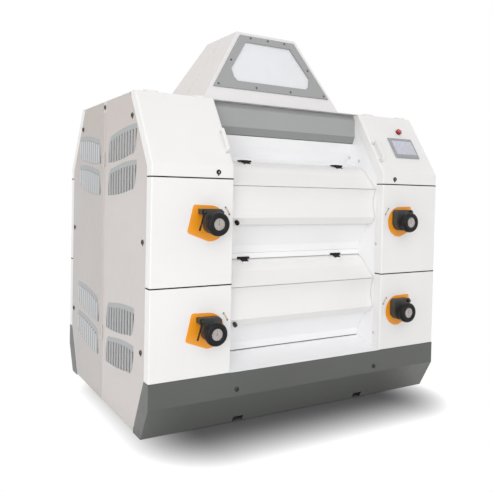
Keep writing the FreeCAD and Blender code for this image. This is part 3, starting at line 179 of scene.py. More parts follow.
class Shape:
    """A mesh under construction, in millimetres, in the machine's own frame."""

    def __init__(self) -> None:
        """Starts with nothing."""
        self.mesh = bmesh.new()

    def lathe(
        self,
        profile: Sequence[Point2],
        frame: Matrix,
        segments: int = 32,
        ripple: Ripple | None = None,
        finish: int = 0,
    ) -> None:
        """Turns a profile round the frame's Z.

        Args:
            profile: Radius and height of each ring, from one end to the other.
            frame: Where the shape goes.
            segments: Facets round it.
            ripple: Changes a radius by the angle, for flutes and sockets.
            finish: Number of the material.
        """
        rings = []
        for radius, height in profile:
            if radius < 1e-6:
                rings.append([self.mesh.verts.new(frame @ Vector((0, 0, height)))])
                continue
            ring = []
            for step in range(segments):
                angle = 2 * math.pi * step / segments
                reach = ripple(radius, angle) if ripple else radius
                spot = Vector((reach * math.cos(angle), reach * math.sin(angle), height))
                ring.append(self.mesh.verts.new(frame @ spot))
            rings.append(ring)
        for below, above in zip(rings, rings[1:]):
            for step in range(segments):
                after = (step + 1) % segments
                corners = [below[step % len(below)], below[after % len(below)]]
                corners += [above[after % len(above)], above[step % len(above)]]
                face = self.mesh.faces.new(list(dict.fromkeys(corners)))
                face.material_index = finish

    def prism(
        self, outline: Sequence[Point2], frame: Matrix, depth: float, rounding: float = 0.0, finish: int = 0
    ) -> None:
        """Raises an outline along the frame's Z.

        Args:
            outline: Corners in the frame's X and Y.
            frame: Where the shape goes.
            depth: Height of the shape.
            rounding: Size of the round along the upper edge.
            finish: Number of the material.
        """
        foot = [self.mesh.verts.new(frame @ Vector((x, y, 0))) for x, y in outline]
        head = [self.mesh.verts.new(frame @ Vector((x, y, depth))) for x, y in outline]
        made = [self.mesh.faces.new(foot), self.mesh.faces.new(head)]
        for step in range(len(foot)):
            after = (step + 1) % len(foot)
            made.append(self.mesh.faces.new((foot[step], foot[after], head[after], head[step])))
        for face in made:
            face.material_index = finish
        if rounding:
            bmesh.ops.bevel(
                self.mesh, geom=list(made[1].edges), offset=rounding, segments=2, profile=0.5, affect="EDGES"
            )

    def sweep(
        self, points: Sequence[Vector], radii: Sequence[float], segments: int = 12, finish: int = 0
    ) -> None:
        """Runs a round bar along points.

        Args:
            points: Middle of the bar, from one end to the other.
            radii: Radius of the bar at each point.
            segments: Facets round it.
            finish: Number of the material.
        """
        rings = []
        side = None
        for number, (point, radius) in enumerate(zip(points, radii)):
            ahead = points[min(number + 1, len(points) - 1)] - points[max(number - 1, 0)]
            ahead.normalize()
            side = ahead.orthogonal() if side is None else side - ahead * side.dot(ahead)
            side.normalize()
            other = ahead.cross(side)
            ring = []
            for step in range(segments):
                angle = 2 * math.pi * step / segments
                ring.append(
                    self.mesh.verts.new(point + (side * math.cos(angle) + other * math.sin(angle)) * radius)
                )
            rings.append(ring)
        for below, above in zip(rings, rings[1:]):
            for step in range(segments):
                after = (step + 1) % segments
                face = self.mesh.faces.new((below[step], below[after], above[after], above[step]))
                face.material_index = finish
        for ring in (rings[0], rings[-1]):
            self.mesh.faces.new(ring).material_index = finish

    def ribbon(self, columns: Sequence[tuple[float, float, float]], frame: Matrix, depth: float) -> None:
        """Makes a plate from upright columns that share their sides.

        Args:
            columns: Place, low end and high end of each upright line.
            frame: Where the plate goes, its columns along the frame's Y.
            depth: Thickness along the frame's Z.
        """
        layers = []
        for level in (0.0, depth):
            lows = [self.mesh.verts.new(frame @ Vector((place, low, level))) for place, low, _ in columns]
            highs = [self.mesh.verts.new(frame @ Vector((place, high, level))) for place, _, high in columns]
            layers.append((lows, highs))
        (low_back, high_back), (low_front, high_front) = layers
        for step in range(len(columns) - 1):
            after = step + 1
            self.mesh.faces.new((low_front[step], low_front[after], high_front[after], high_front[step]))
            self.mesh.faces.new((low_back[step], high_back[step], high_back[after], low_back[after]))
            self.mesh.faces.new((low_back[step], low_back[after], low_front[after], low_front[step]))
            self.mesh.faces.new((high_back[step], high_front[step], high_front[after], high_back[after]))
        for end in (0, -1):
            self.mesh.faces.new((low_back[end], low_front[end], high_front[end], high_back[end]))

    def outline_mesh(self, words: str, size: float, frame: Matrix, finish: int = 0) -> None:
        """Adds plain figures, flat on the frame's X and Y.

        Args:
            words: The figures.
            size: Their height.
            frame: Where they go, from their middle.
            finish: Number of the material.
        """
        curve = bpy.data.curves.new("figures", "FONT")
        curve.body = words
        curve.size = size
        curve.align_x = "CENTER"
        curve.align_y = "CENTER"
        carrier = bpy.data.objects.new("figures", curve)
        flat = bpy.data.meshes.new_from_object(carrier)
        spots = [self.mesh.verts.new(frame @ spot.co) for spot in flat.vertices]
        for polygon in flat.polygons:
            self.mesh.faces.new([spots[number] for number in polygon.vertices]).material_index = finish
        bpy.data.objects.remove(carrier)
        bpy.data.curves.remove(curve)
        bpy.data.meshes.remove(flat)

    def data(
        self, name: str, materials: Sequence[bpy.types.Material], mirror: Matrix | None = None
    ) -> bpy.types.Mesh:
        """Finishes the mesh, in metres.

        Args:
            name: Name of the mesh.
            materials: Its materials, by number.
            mirror: Takes the shape to another quarter.

        Returns:
            The mesh, with its faces outward.
        """
        if mirror is not None:
            self.mesh.transform(mirror)
        self.mesh.transform(Matrix.Scale(METRES, 4))
        bmesh.ops.recalc_face_normals(self.mesh, faces=self.mesh.faces)
        for face in self.mesh.faces:
            face.smooth = True
        mesh = bpy.data.meshes.new(name)
        self.mesh.to_mesh(mesh)
        self.mesh.free()
        mesh.set_sharp_from_angle(angle=SHARP)
        for material in materials:
            mesh.materials.append(material)
        return mesh

    def build(
        self, name: str, materials: Sequence[bpy.types.Material], body: str, mirror: Matrix | None = None
    ) -> bpy.types.Object:
        """Puts the finished shape on the body that it moves with.

        Args:
            name: Name of the piece.
            materials: Its materials, by number.
            body: Body that it rides on.
            mirror: Takes the shape to another quarter.

        Returns:
            The piece.
        """
        return place(name, self.data(name, materials, mirror), body)


def place(name: str, mesh: bpy.types.Mesh, body: str, frame: Matrix | None = None) -> bpy.types.Object:
    """Adds a piece with a finished mesh.

    Args:
        name: Name of the piece.
        mesh: Its mesh, which other pieces may share.
        body: Body that it rides on.
        frame: Where its origin goes, in metres.

    Returns:
        The piece.
    """
    piece = bpy.data.objects.new(name, mesh)
    bpy.context.scene.collection.objects.link(piece)
    if frame is not None:
        piece.matrix_world = frame
    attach(piece, body)
    LOG.info("built %s on %s", name, body)
    return piece


@dataclass(frozen=True)
class Tone:
    """Second colour that a paint takes along one axis of the surface's direction or place: painted shade or painted
    light that follows how light falls on the part.
    """

    colour: Colour
    source: str
    axis: str
    start: float
    end: float


class Graph:
    """The nodes of one material."""

    def __init__(self, name: str) -> None:
        """Starts a material with one shader.

        Args:
            name: Name of the material.
        """
        self.material = bpy.data.materials.new(name)
        self.material.use_nodes = True
        tree = self.material.node_tree
        self.nodes, self.links = tree.nodes, tree.links
        self.shader = self.nodes["Principled BSDF"]
        self.place = self.nodes.new("ShaderNodeTexCoord").outputs["Object"]

    def plain(self, **values: float | Colour) -> None:
        """Sets values that are the same all over the surface, by the sockets' names."""
        for name, value in values.items():
            socket = self.shader.inputs[name.replace("_", " ")]
            socket.default_value = (*value, 1.0) if isinstance(value, tuple) else value

    def stretched(self, scale: Sequence[float], offset: Sequence[float] = (0, 0, 0)) -> bpy.types.NodeSocket:
        """Place on the part after an offset and a scale along each axis.

        Args:
            scale: Factors along X, Y and Z.
            offset: What is added, after the scale.

        Returns:
            The place as a vector.
        """
        node = self.nodes.new("ShaderNodeMapping")
        node.inputs["Scale"].default_value = scale
        node.inputs["Location"].default_value = offset
        self.links.new(self.place, node.inputs["Vector"])
        return node.outputs["Vector"]

    def noise(
        self, scale: float, detail: float = 2.0, at: bpy.types.NodeSocket | None = None
    ) -> bpy.types.NodeSocket:
        """Soft noise from 0 to 1.

        Args:
            scale: Spots for each metre.
            detail: Finer layers.
            at: Place on the part, where it isn't the plain one.

        Returns:
            The noise.
        """
        node = self.nodes.new("ShaderNodeTexNoise")
        node.inputs["Scale"].default_value = scale
        node.inputs["Detail"].default_value = detail
        self.links.new(at or self.place, node.inputs["Vector"])
        return node.outputs["Fac"]

    def between(self, value: bpy.types.NodeSocket, low: float, high: float) -> bpy.types.NodeSocket:
        """Spreads the middle of a noise over a range.

        Args:
            value: The noise.
            low: Value at its low end.
            high: Value at its high end.

        Returns:
            The spread value.
        """
        node = self.nodes.new("ShaderNodeMapRange")
        for name, number in (("From Min", 0.3), ("From Max", 0.7), ("To Min", low), ("To Max", high)):
            node.inputs[name].default_value = number
        self.links.new(value, node.inputs["Value"])
        return node.outputs["Result"]

    def sums(
        self, kind: str, first: bpy.types.NodeSocket | float, second: bpy.types.NodeSocket | float = 0.0
    ) -> bpy.types.NodeSocket:
        """One step of arithmetic.

        Args:
            kind: Blender's name for it.
            first: First value.
            second: Second value.

        Returns:
            The result.
        """
        node = self.nodes.new("ShaderNodeMath")
        node.operation = kind
        for socket, value in zip(node.inputs, (first, second)):
            if isinstance(value, bpy.types.NodeSocket):
                self.links.new(value, socket)
            else:
                socket.default_value = value
        return node.outputs[0]

    def colours(self, value: bpy.types.NodeSocket, low: Colour, high: Colour) -> None:
        """Blends the base colour between two colours.

        Args:
            value: 0 for the first, 1 for the second.
            low: First colour.
            high: Second colour.
        """
        node = self.nodes.new("ShaderNodeMix")
        node.data_type = "RGBA"
        node.inputs["A"].default_value = (*low, 1.0)
        node.inputs["B"].default_value = (*high, 1.0)
        self.links.new(value, node.inputs["Factor"])
        self.links.new(node.outputs["Result"], self.shader.inputs["Base Color"])

    def towards(self, tone: Tone) -> None:
        """Takes the base colour towards a second one: painted shade or painted light by the surface's direction or
        place.

        Args:
            tone: The second colour, and where it starts and is reached.
        """
        split = self.nodes.new("ShaderNodeSeparateXYZ")
        self.links.new(self.nodes.new("ShaderNodeNewGeometry").outputs[tone.source], split.inputs[0])
        level = self.nodes.new("ShaderNodeMapRange")
        for name, number in (
            ("From Min", tone.start), ("From Max", tone.end), ("To Min", 0.0), ("To Max", 1.0)
        ):
            level.inputs[name].default_value = number
        self.links.new(split.outputs[tone.axis], level.inputs["Value"])
        base = self.shader.inputs["Base Color"]
        node = self.nodes.new("ShaderNodeMix")
        node.data_type = "RGBA"
        self.links.new(base.links[0].from_socket, node.inputs["A"])
        node.inputs["B"].default_value = (*tone.colour, 1.0)
        self.links.new(level.outputs["Result"], node.inputs["Factor"])
        self.links.new(node.outputs["Result"], base)

    def rough(self, value: bpy.types.NodeSocket) -> None:
        """Drives the roughness."""
        self.links.new(value, self.shader.inputs["Roughness"])

    def relief(self, height: bpy.types.NodeSocket, strength: float, depth: float, edge: float = 0.0) -> None:
        """Gives the surface relief, over softly rounded edges.

        Args:
            height: 0 to 1.
            strength: Share of the relief that shows.
            depth: Its depth in metres.
            edge: Radius of the edges in metres.
        """
        bump = self.nodes.new("ShaderNodeBump")
        bump.inputs["Strength"].default_value = strength
        bump.inputs["Distance"].default_value = depth
        self.links.new(height, bump.inputs["Height"])
        if edge:
            soft = self.nodes.new("ShaderNodeBevel")
            soft.samples = 4
            soft.inputs["Radius"].default_value = edge
            self.links.new(soft.outputs["Normal"], bump.inputs["Normal"])
        self.links.new(bump.outputs["Normal"], self.shader.inputs["Normal"])


def tinted(colour: Colour, factor: float) -> Colour:
    """Makes a colour lighter or darker by a factor."""
    return colour[0] * factor, colour[1] * factor, colour[2] * factor


@dataclass(frozen=True)
class PowderCoat:
    """Baked powder paint on sheet steel: faint orange peel, soft edges, slight drift in tone."""

    name: str
    colour: Colour
    roughness: float = 0.36
    drift: float = 0.018
    peel: float = 0.10
    edge: float = 0.0022
    # Painted shade or painted light by the surface's direction or height.
    tone: Tone | None = None

    def make(self) -> bpy.types.Material:
        """Returns the material."""
        graph = Graph(self.name)
        graph.plain(IOR=1.5, Coat_Weight=0.12, Coat_Roughness=0.12)
        graph.colours(
            graph.between(graph.noise(2.3, 4.0), 0.0, 1.0),
            tinted(self.colour, 1 - self.drift),
            tinted(self.colour, 1 + self.drift),
        )
        if self.tone:
            graph.towards(self.tone)
        graph.rough(graph.between(graph.noise(19.0, 3.0), self.roughness - 0.04, self.roughness + 0.05))
        graph.relief(graph.noise(420.0, 2.0), self.peel, 0.0006, self.edge)
        return graph.material


@dataclass(frozen=True)
class CastPaint:
    """Paint over a sand casting: coarse grain and darker hollows."""

    name: str
    colour: Colour
    roughness: float = 0.5
    grain: float = 0.35

    def make(self) -> bpy.types.Material:
        """Returns the material."""
        graph = Graph(self.name)
        graph.plain(IOR=1.5)
        coarse = graph.noise(130.0, 5.0)
        graph.colours(graph.between(coarse, 0.0, 1.0), tinted(self.colour, 0.82), tinted(self.colour, 1.2))
        graph.rough(graph.between(graph.noise(40.0, 3.0), self.roughness - 0.08, self.roughness + 0.1))
        graph.relief(coarse, self.grain, 0.0011, 0.0015)
        return graph.material


@dataclass(frozen=True)
class BrushedSteel:
    """Bare sheet or turned steel with fine lines along one axis."""

    name: str
    colour: Colour
    lines: tuple[float, float, float] = (6.0, 700.0, 700.0)
    roughness: float = 0.3

    def make(self) -> bpy.types.Material:
        """Returns the material."""
        graph = Graph(self.name)
        graph.plain(Metallic=1.0)
        grain = graph.noise(1.0, 3.0, graph.stretched(self.lines))
        graph.colours(graph.between(grain, 0.0, 1.0), tinted(self.colour, 0.9), tinted(self.colour, 1.08))
        graph.rough(graph.between(grain, self.roughness - 0.06, self.roughness + 0.1))
        graph.relief(grain, 0.12, 0.0003, 0.0008)
        return graph.material


@dataclass(frozen=True)
class FlutedIron:
    """Chilled iron roll with spiral flutes round an axis along X."""

    name: str
    colour: Colour
    axis: Point2
    flutes: float = 260.0
    spiral: float = 46.0
    depth: float = 0.0011

    def make(self) -> bpy.types.Material:
        """Returns the material."""
        graph = Graph(self.name)
        graph.plain(Metallic=1.0)
        split = graph.nodes.new("ShaderNodeSeparateXYZ")
        graph.links.new(graph.place, split.inputs[0])
        across = graph.sums("SUBTRACT", split.outputs["Y"], self.axis[0])
        upward = graph.sums("SUBTRACT", split.outputs["Z"], self.axis[1])
        turn = graph.sums("MULTIPLY", graph.sums("ARCTAN2", upward, across), self.flutes)
        phase = graph.sums("ADD", turn, graph.sums("MULTIPLY", split.outputs["X"], self.spiral))
        tooth = graph.sums("ADD", graph.sums("MULTIPLY", graph.sums("SINE", phase), 0.5), 0.5)
        graph.colours(tooth, tinted(self.colour, 0.72), tinted(self.colour, 1.1))
        graph.rough(graph.between(graph.noise(60.0, 3.0), 0.28, 0.42))
        graph.relief(tooth, 0.5, self.depth, 0.001)
        return graph.material


@dataclass(frozen=True)
class Moulded:
    """Moulded plastic with a fine grain."""

    name: str
    colour: Colour
    roughness: float = 0.34
    grain: float = 0.12
    gloss: float = 0.5

    def make(self) -> bpy.types.Material:
        """Returns the material."""
        graph = Graph(self.name)
        graph.plain(IOR=1.48, Specular_IOR_Level=self.gloss)
        graph.colours(
            graph.between(
                graph.noise(60.0, 3.0), 0.0, 1.0
            ), tinted(self.colour, 0.93), tinted(self.colour, 1.07)
        )
        graph.rough(graph.between(graph.noise(35.0, 3.0), self.roughness - 0.05, self.roughness + 0.07))
        graph.relief(graph.noise(1500.0, 2.0), self.grain, 0.0002, 0.0006)
        return graph.material


@dataclass(frozen=True)
class Glazing:
    """Pane or lens: clear to milky, with slight waves."""

    name: str
    colour: Colour
    clear: float = 0.6
    roughness: float = 0.03
    wave: float = 5.0

    def make(self) -> bpy.types.Material:
        """Returns the material."""
        graph = Graph(self.name)
        graph.plain(IOR=1.45, Transmission_Weight=self.clear)
        graph.colours(
            graph.between(
                graph.noise(self.wave, 2.0), 0.0, 1.0
            ), tinted(self.colour, 0.97), tinted(self.colour, 1.0)
        )
        graph.rough(graph.between(graph.noise(12.0, 2.0), self.roughness, self.roughness + 0.03))
        graph.relief(graph.noise(self.wave * 0.6, 1.0), 0.15, 0.004)
        return graph.material


@dataclass(frozen=True)
class Palette:
    """The finishes of the mill by the names of the record's material slots, and those of small parts."""

    white: Colour = shade(241, 240, 239)
    # Painted light: a lighter copy of the white paint for the bay's walls and sheets.
    bay: Colour = shade(248, 248, 249)
    hood: Colour = shade(236, 234, 235)
    end: Colour = shade(208, 202, 199)
    # Painted shade: a darker copy of the end doors' grey for the rear end doors.
    end_deep: Colour = shade(193, 187, 184)
    skirt: Colour = shade(88, 90, 87)
    beam: Colour = shade(163, 164, 164)
    grille: Colour = shade(168, 171, 172)

    def finishes(self) -> dict[str, bpy.types.Material]:
        """Makes every material.

        Returns:
            The materials by name.
        """
        steel = shade(200, 200, 202)
        # Painted shade: the hood's left-facing side darker.
        hood_left_shade = Tone(shade(220, 215, 212), "Normal", "X", -0.3, -0.7)
        # Painted shade: the end doors darker towards their top.
        end_top_shade = Tone(shade(200, 191, 186), "Position", "Z", 1.2, 1.68)
        # Painted shade: the rear end doors also darker towards their top.
        end_rear_top_shade = Tone(shade(189, 180, 174), "Position", "Z", 1.2, 1.68)
        # Painted light: the skirt's downward-facing facets lighter.
        skirt_toe_painted_light = Tone(shade(96, 98, 95), "Normal", "Z", -0.15, -0.35)
        # Painted shade: the beam's downward-facing facets darker.
        beam_foot_shade = Tone(shade(142, 143, 143), "Normal", "Z", -0.15, -0.35)
        made = [
            PowderCoat("panel_white", self.white),
            PowderCoat("bay_white", self.bay),
            PowderCoat("hood_white", self.hood, tone=hood_left_shade),
            PowderCoat("end_grey", self.end, 0.42, 0.02, tone=end_top_shade),
            PowderCoat("end_grey_deep", self.end_deep, 0.42, 0.02, tone=end_rear_top_shade),
            PowderCoat("skirt_grey", self.skirt, 0.40, 0.05, 0.16, tone=skirt_toe_painted_light),
            PowderCoat("beam_grey", self.beam, 0.40, 0.03, 0.14, tone=beam_foot_shade),
            PowderCoat("strip_grey", shade(218, 212, 209), 0.42, 0.02),
            PowderCoat("frame_grey", shade(178, 180, 182), 0.5, 0.05, 0.2),
            PowderCoat("plate_orange", shade(246, 158, 28), 0.34, 0.04, 0.1, 0.0012),
            PowderCoat("grille_grey", self.grille, 0.45, 0.03, 0.12, 0.0008),
            PowderCoat("lip_bright", shade(206, 208, 209), 0.35, 0.02, 0.05, 0.0005),
            CastPaint("housing_dark", shade(62, 62, 60), 0.5, 0.2),
            CastPaint("housing_iron", shade(126, 134, 140)),
            BrushedSteel("chute_steel", steel, (700.0, 700.0, 6.0)),
            BrushedSteel("roll_iron", shade(182, 182, 184)),
            PowderCoat("screw_light", shade(214, 212, 210), 0.4, 0.02, 0.05, 0.0006),
            Moulded("wheel_black", shade(25, 25, 27), 0.36, 0.1, 0.22),
            Moulded("lock_black", shade(14, 13, 13), 0.46, 0.1, 0.12),
            Moulded("hinge_black", shade(26, 26, 26), 0.5, 0.12, 0.2),
            Moulded("seal_black", shade(30, 29, 28), 0.7, 0.2, 0.1),
            Moulded("screw_dark", shade(60, 58, 56), 0.45, 0.1, 0.3),
            Moulded("screw_grey", shade(112, 108, 112), 0.42, 0.1, 0.3),
            Moulded("screen_grey", shade(158, 161, 165), 0.4),
            Moulded("display", shade(202, 202, 214), 0.16, 0.02),
            Moulded("button_red", shade(180, 40, 38), 0.26, 0.03, 0.4),
            Moulded("button_collar", shade(52, 52, 54), 0.45, 0.1, 0.3),
            Moulded("arrow_white", shade(226, 214, 212), 0.4, 0.03),
            Moulded("dial_face", shade(214, 204, 198), 0.4, 0.03),
            Moulded("dial_ink", shade(48, 46, 46), 0.5, 0.03, 0.3),
            Moulded("pointer_red", shade(150, 40, 36), 0.35, 0.03, 0.3),
            Moulded("mark_band", shade(214, 196, 172), 0.5, 0.03, 0.3),
            Moulded("mark_ink", shade(104, 92, 80), 0.5, 0.03, 0.3),
            Glazing("window_glass", shade(249, 251, 254), 0.12, 0.05),
            Glazing("lens", shade(250, 250, 250), 0.97, 0.01),
        ]
        return {finish.name: finish.make() for finish in made}


Finishes = dict[str, bpy.types.Material]


@dataclass(frozen=True)
class Machine:
    """Main planes of the mill that small parts sit on, in millimetres."""

    half_length: float = 1000.0
    half_depth: float = 765.0
    wall_x: float = 533.0
    wheel_x: float = 672.0
    wheel_z: float = 1116.0
    fast_y: float = 155.0
    slow_y: float = 405.5
    slope_top: Point2 = (510.0, 1810.0)
    slope_foot: Point2 = (765.0, 1420.0)

    def on_slope(self, x: float, down: float, out: float = 0.0) -> Vector:
        """Point of the front's sloped lids.

        Args:
            x: Place along the machine.
            down: Distance down the slope from the roof.
            out: Distance off the surface.

        Returns:
            The point.
        """
        (top_y, top_z), (foot_y, foot_z) = self.slope_top, self.slope_foot
        run = math.hypot(foot_y - top_y, top_z - foot_z)
        level, drop = (foot_y - top_y) / run, (top_z - foot_z) / run
        return Vector((x, -top_y - down * level - out * drop, top_z - down * drop + out * level))

    def slope_out(self) -> Vector:
        """Direction off the front's sloped lids."""
        return self.on_slope(0, 0, 1) - self.on_slope(0, 0, 0)

    def slope_up(self) -> Vector:
        """Direction up the front's sloped lids."""
        return self.on_slope(0, -1) - self.on_slope(0, 0)


MACHINE = Machine()


@dataclass
class CoatedFrame:
    """The CAD nodes, each with the finish of its slot, and fluted rolls."""

    nodes: dict[str, bpy.types.Object]
    finishes: Finishes

    def roll_finish(self, name: str) -> bpy.types.Material | None:
        """Makes the flutes of one grinding or feed roll.

        Args:
            name: Node's name.

        Returns:
            Its material, or None for any other node.
        """
        if not name.startswith(("fast_roll", "slow_roll", "feed_roll")):
            return None
        sign = 1 if name.endswith("rear") else -1
        if name.startswith("feed"):
            low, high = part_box(name)
            middle = (low + high) / 2
            return FlutedIron(
                f"flutes_{name}", shade(176, 176, 178), (middle.y, middle.z), 48.0, 8.0, 0.003
            ).make()
        across = MACHINE.fast_y if name.startswith("fast") else MACHINE.slow_y
        deck = Deck.LOWER if "lower" in name else Deck.UPPER
        axis = (sign * across * METRES, (MACHINE.wheel_z - deck.value) * METRES)
        return FlutedIron(f"flutes_{name}", shade(178, 178, 180), axis).make()

    def own_finish(self, name: str) -> bpy.types.Material | None:
        """Finds the finish of a node whose paint differs a little from its slot's; the bay's lighter white is painted
        light, and the rear end doors' darker grey is painted shade.
        """
        # The bay's side walls and throat sheets take the lighter white, painted light.
        own = {"hood_shell": "hood_white", "end_plates": "strip_grey", "side_plates": "bay_white"}
        own["throat_sheets"] = "bay_white"
        if name in own:
            return self.finishes[own[name]]
        # Rear end doors take the darker copy of their grey, painted shade.
        if name.startswith("end_door") and name.endswith("rear"):
            return self.finishes["end_grey_deep"]
        return None

    def dress(self) -> None:
        """Gives every node its material."""
        for name, node in self.nodes.items():
            special = self.own_finish(name) or self.roll_finish(name)
            for slot in node.material_slots:
                slot.material = special or self.finishes[slot.material.name]
            LOG.info("dressed %s", name)


@dataclass
class Handwheel:
    """Roll gap handwheel: fluted black rim, hub, and a recessed dial with figures under a lens."""

    finishes: Finishes
    radius: float = 62.0
    width: float = 40.0
    hub: float = 22.0
    dial: float = 31.0
    back_y: float = 838.0
    hub_foot_y: float = 809.0
    spindle_radius: float = 10.0
    spindle_end_y: float = 596.0
    flutes: int = 30
    flute_depth: float = 0.9
    figures: int = 10

    def rim_ripple(self, radius: float, angle: float) -> float:
        """Grip flutes round the rim."""
        if radius < self.radius - 4:
            return radius
        return radius - self.flute_depth * (0.5 + 0.5 * math.cos(self.flutes * angle)) ** 3

    def wheel_mesh(self) -> bpy.types.Mesh:
        """Turns spindle, hub and rim, with Z along the spindle and its origin at the wheel's back."""
        reach = self.radius
        shape = Shape()
        spindle = [
            (0, self.spindle_end_y - self.back_y), (self.spindle_radius, self.spindle_end_y - self.back_y)
        ]
        hub = [(self.spindle_radius, self.hub_foot_y - self.back_y - 1), (self.hub - 1, self.hub_foot_y - self.back_y)]
        hub += [(self.hub, self.hub_foot_y - self.back_y + 1.5), (self.hub, -4), (self.hub + 3, 0)]
        rim = [
            (reach - 22, 1), (reach - 9, 0.5), (reach - 3.5, 3), (reach - 0.6, 8.5), (reach, 15), (reach, 22)
        ]
        rim += [
            (reach - 1.2, 29), (reach - 4.6, 35), (reach - 9.5, 38.6), (reach - 15, 40), (reach - 20, 39.4)
        ]
        rim += [(reach - 25, 37.2), (self.dial + 2.2, 35.6), (self.dial + 0.6, 35.8), (self.dial, 35)]
        rim += [(self.dial, 31), (0, 31)]
        shape.lathe(spindle + hub + rim, Matrix(), 120, self.rim_ripple)
        return shape.data("handwheel_body", [self.finishes["wheel_black"]])

    def dial_mesh(self) -> bpy.types.Mesh:
        """Dial face, ticks, figures and pointer, in the same frame."""
        floor = 31.4
        shape = Shape()
        shape.lathe([(0, floor - 0.4), (self.dial - 0.4, floor - 0.4), (self.dial - 0.4, floor), (0, floor)], Matrix(), 64)
        for tick in range(self.figures * 5):
            turn = Matrix.Rotation(2 * math.pi * tick / (self.figures * 5), 4, "Z")
            long = tick % 5 == 0
            outer, inner, half = self.dial - 2.2, self.dial - (6.6 if long else 4.6), 0.45 if long else 0.22
            lift = Matrix.Translation((0, 0, floor))
            shape.prism(
                [(-half, inner), (half, inner), (half, outer), (-half, outer)], lift @ turn, 0.15, 0, 1
            )
        for number in range(self.figures):
            angle = -2 * math.pi * number / self.figures
            spot = Matrix.Rotation(angle, 4, "Z") @ Vector((0, self.dial - 10.6, floor + 0.2))
            shape.outline_mesh(str(number), 5.6, Matrix.Translation(spot), 1)
        lift = Matrix.Translation((0, 0, floor + 0.5))
        shape.prism(
            [(-1.0, -6.0), (1.0, -6.0), (0.45, self.dial - 8.0), (-0.45, self.dial - 8.0)], lift, 0.4, 0, 2
        )
        shape.lathe([(0, 0), (2.4, 0), (2.4, 0.9), (1.8, 1.3), (0, 1.3)], lift, 24, None, 2)
        names = ("dial_face", "dial_ink", "pointer_red")
        return shape.data("dial", [self.finishes[name] for name in names])

    def lens_mesh(self) -> bpy.types.Mesh:
        """Clear lens over the dial."""
        shape = Shape()
        edge = self.dial - 0.15
        shape.lathe([(0, 33.8), (edge, 33.4), (edge, 34.2), (edge * 0.6, 35.0), (0, 35.3)], Matrix(), 64)
        return shape.data("lens", [self.finishes["lens"]])

    def build(self) -> None:
        """Puts a wheel, a dial and a lens at each of the eight adjusters."""
        wheel, dial, lens = self.wheel_mesh(), self.dial_mesh(), self.lens_mesh()
        for deck in Deck:
            for quarter in Quarter.every():
                words = f"{deck.name.lower()}_{quarter.name}"
                body = f"handwheel_{words}"
                spot = Vector((
                    quarter.side.value * MACHINE.wheel_x,
                    quarter.face.value * self.back_y,
                    MACHINE.wheel_z - deck.value,
                ))
                frame = facing(spot * METRES, (0, quarter.face.value, 0))
                piece = place(f"wheel_{words}", wheel, body, frame)
                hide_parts(body)
                place(f"dial_{words}", dial, body, frame)
                place(f"lens_{words}", lens, body, frame)


@dataclass
class ClampLever:
    """Clamp lever beside a handwheel: nut head, tapered arm, thicker tip."""

    finishes: Finishes
    offset: Point2 = (57.0, 62.0)
    back_y: float = 808.4
    depth: float = 10.0
    head: float = 12.0
    tip: float = 6.5
    length: float = 95.0
    lean: float = math.radians(15)

    def shape(self, deck: Deck) -> Shape:
        """Draws the lever of the right front quarter on one deck."""
        shape = Shape()
        x, z = MACHINE.wheel_x + self.offset[0], MACHINE.wheel_z - deck.value + self.offset[1]
        frame = facing((x, -self.back_y, z), (0, -1, 0))
        profile = [(5.2, 0), (self.head - 1, 0), (self.head, 1), (self.head, self.depth - 2), (self.head - 2, self.depth)]
        profile += [(7.4, self.depth), (5.2, self.depth)]
        shape.lathe(profile + [(5.2, 0)], frame, 40)
        middle = Vector((x, -self.back_y - self.depth / 2, z))
        along = Vector((math.sin(self.lean), 0, -math.cos(self.lean)))
        stops = [(8, 4.2), (14, 3.9), (40, 3.9), (66, 4.1), (76, 4.6), (81, 5.6), (86, 6.3), (92, 6.5)]
        stops += [(97, 6.1), (100, 4.9), (101.5, 2.4)]
        squeeze = self.length / 95.0
        points = [middle + along * (stop * squeeze) for stop, _ in stops]
        shape.sweep(points, [min(size, self.depth / 2 - 0.1, self.tip) for _, size in stops], 20)
        return shape

    def build(self) -> None:
        """Puts a lever at each of the eight adjusters."""
        for deck in Deck:
            for quarter in Quarter.every():
                words = f"{deck.name.lower()}_{quarter.name}"
                body = f"clamp_lever_{words}"
                shape = self.shape(deck)
                piece = shape.build(f"lever_{words}", [self.finishes["wheel_black"]], body, quarter.mirror())
                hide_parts(body)


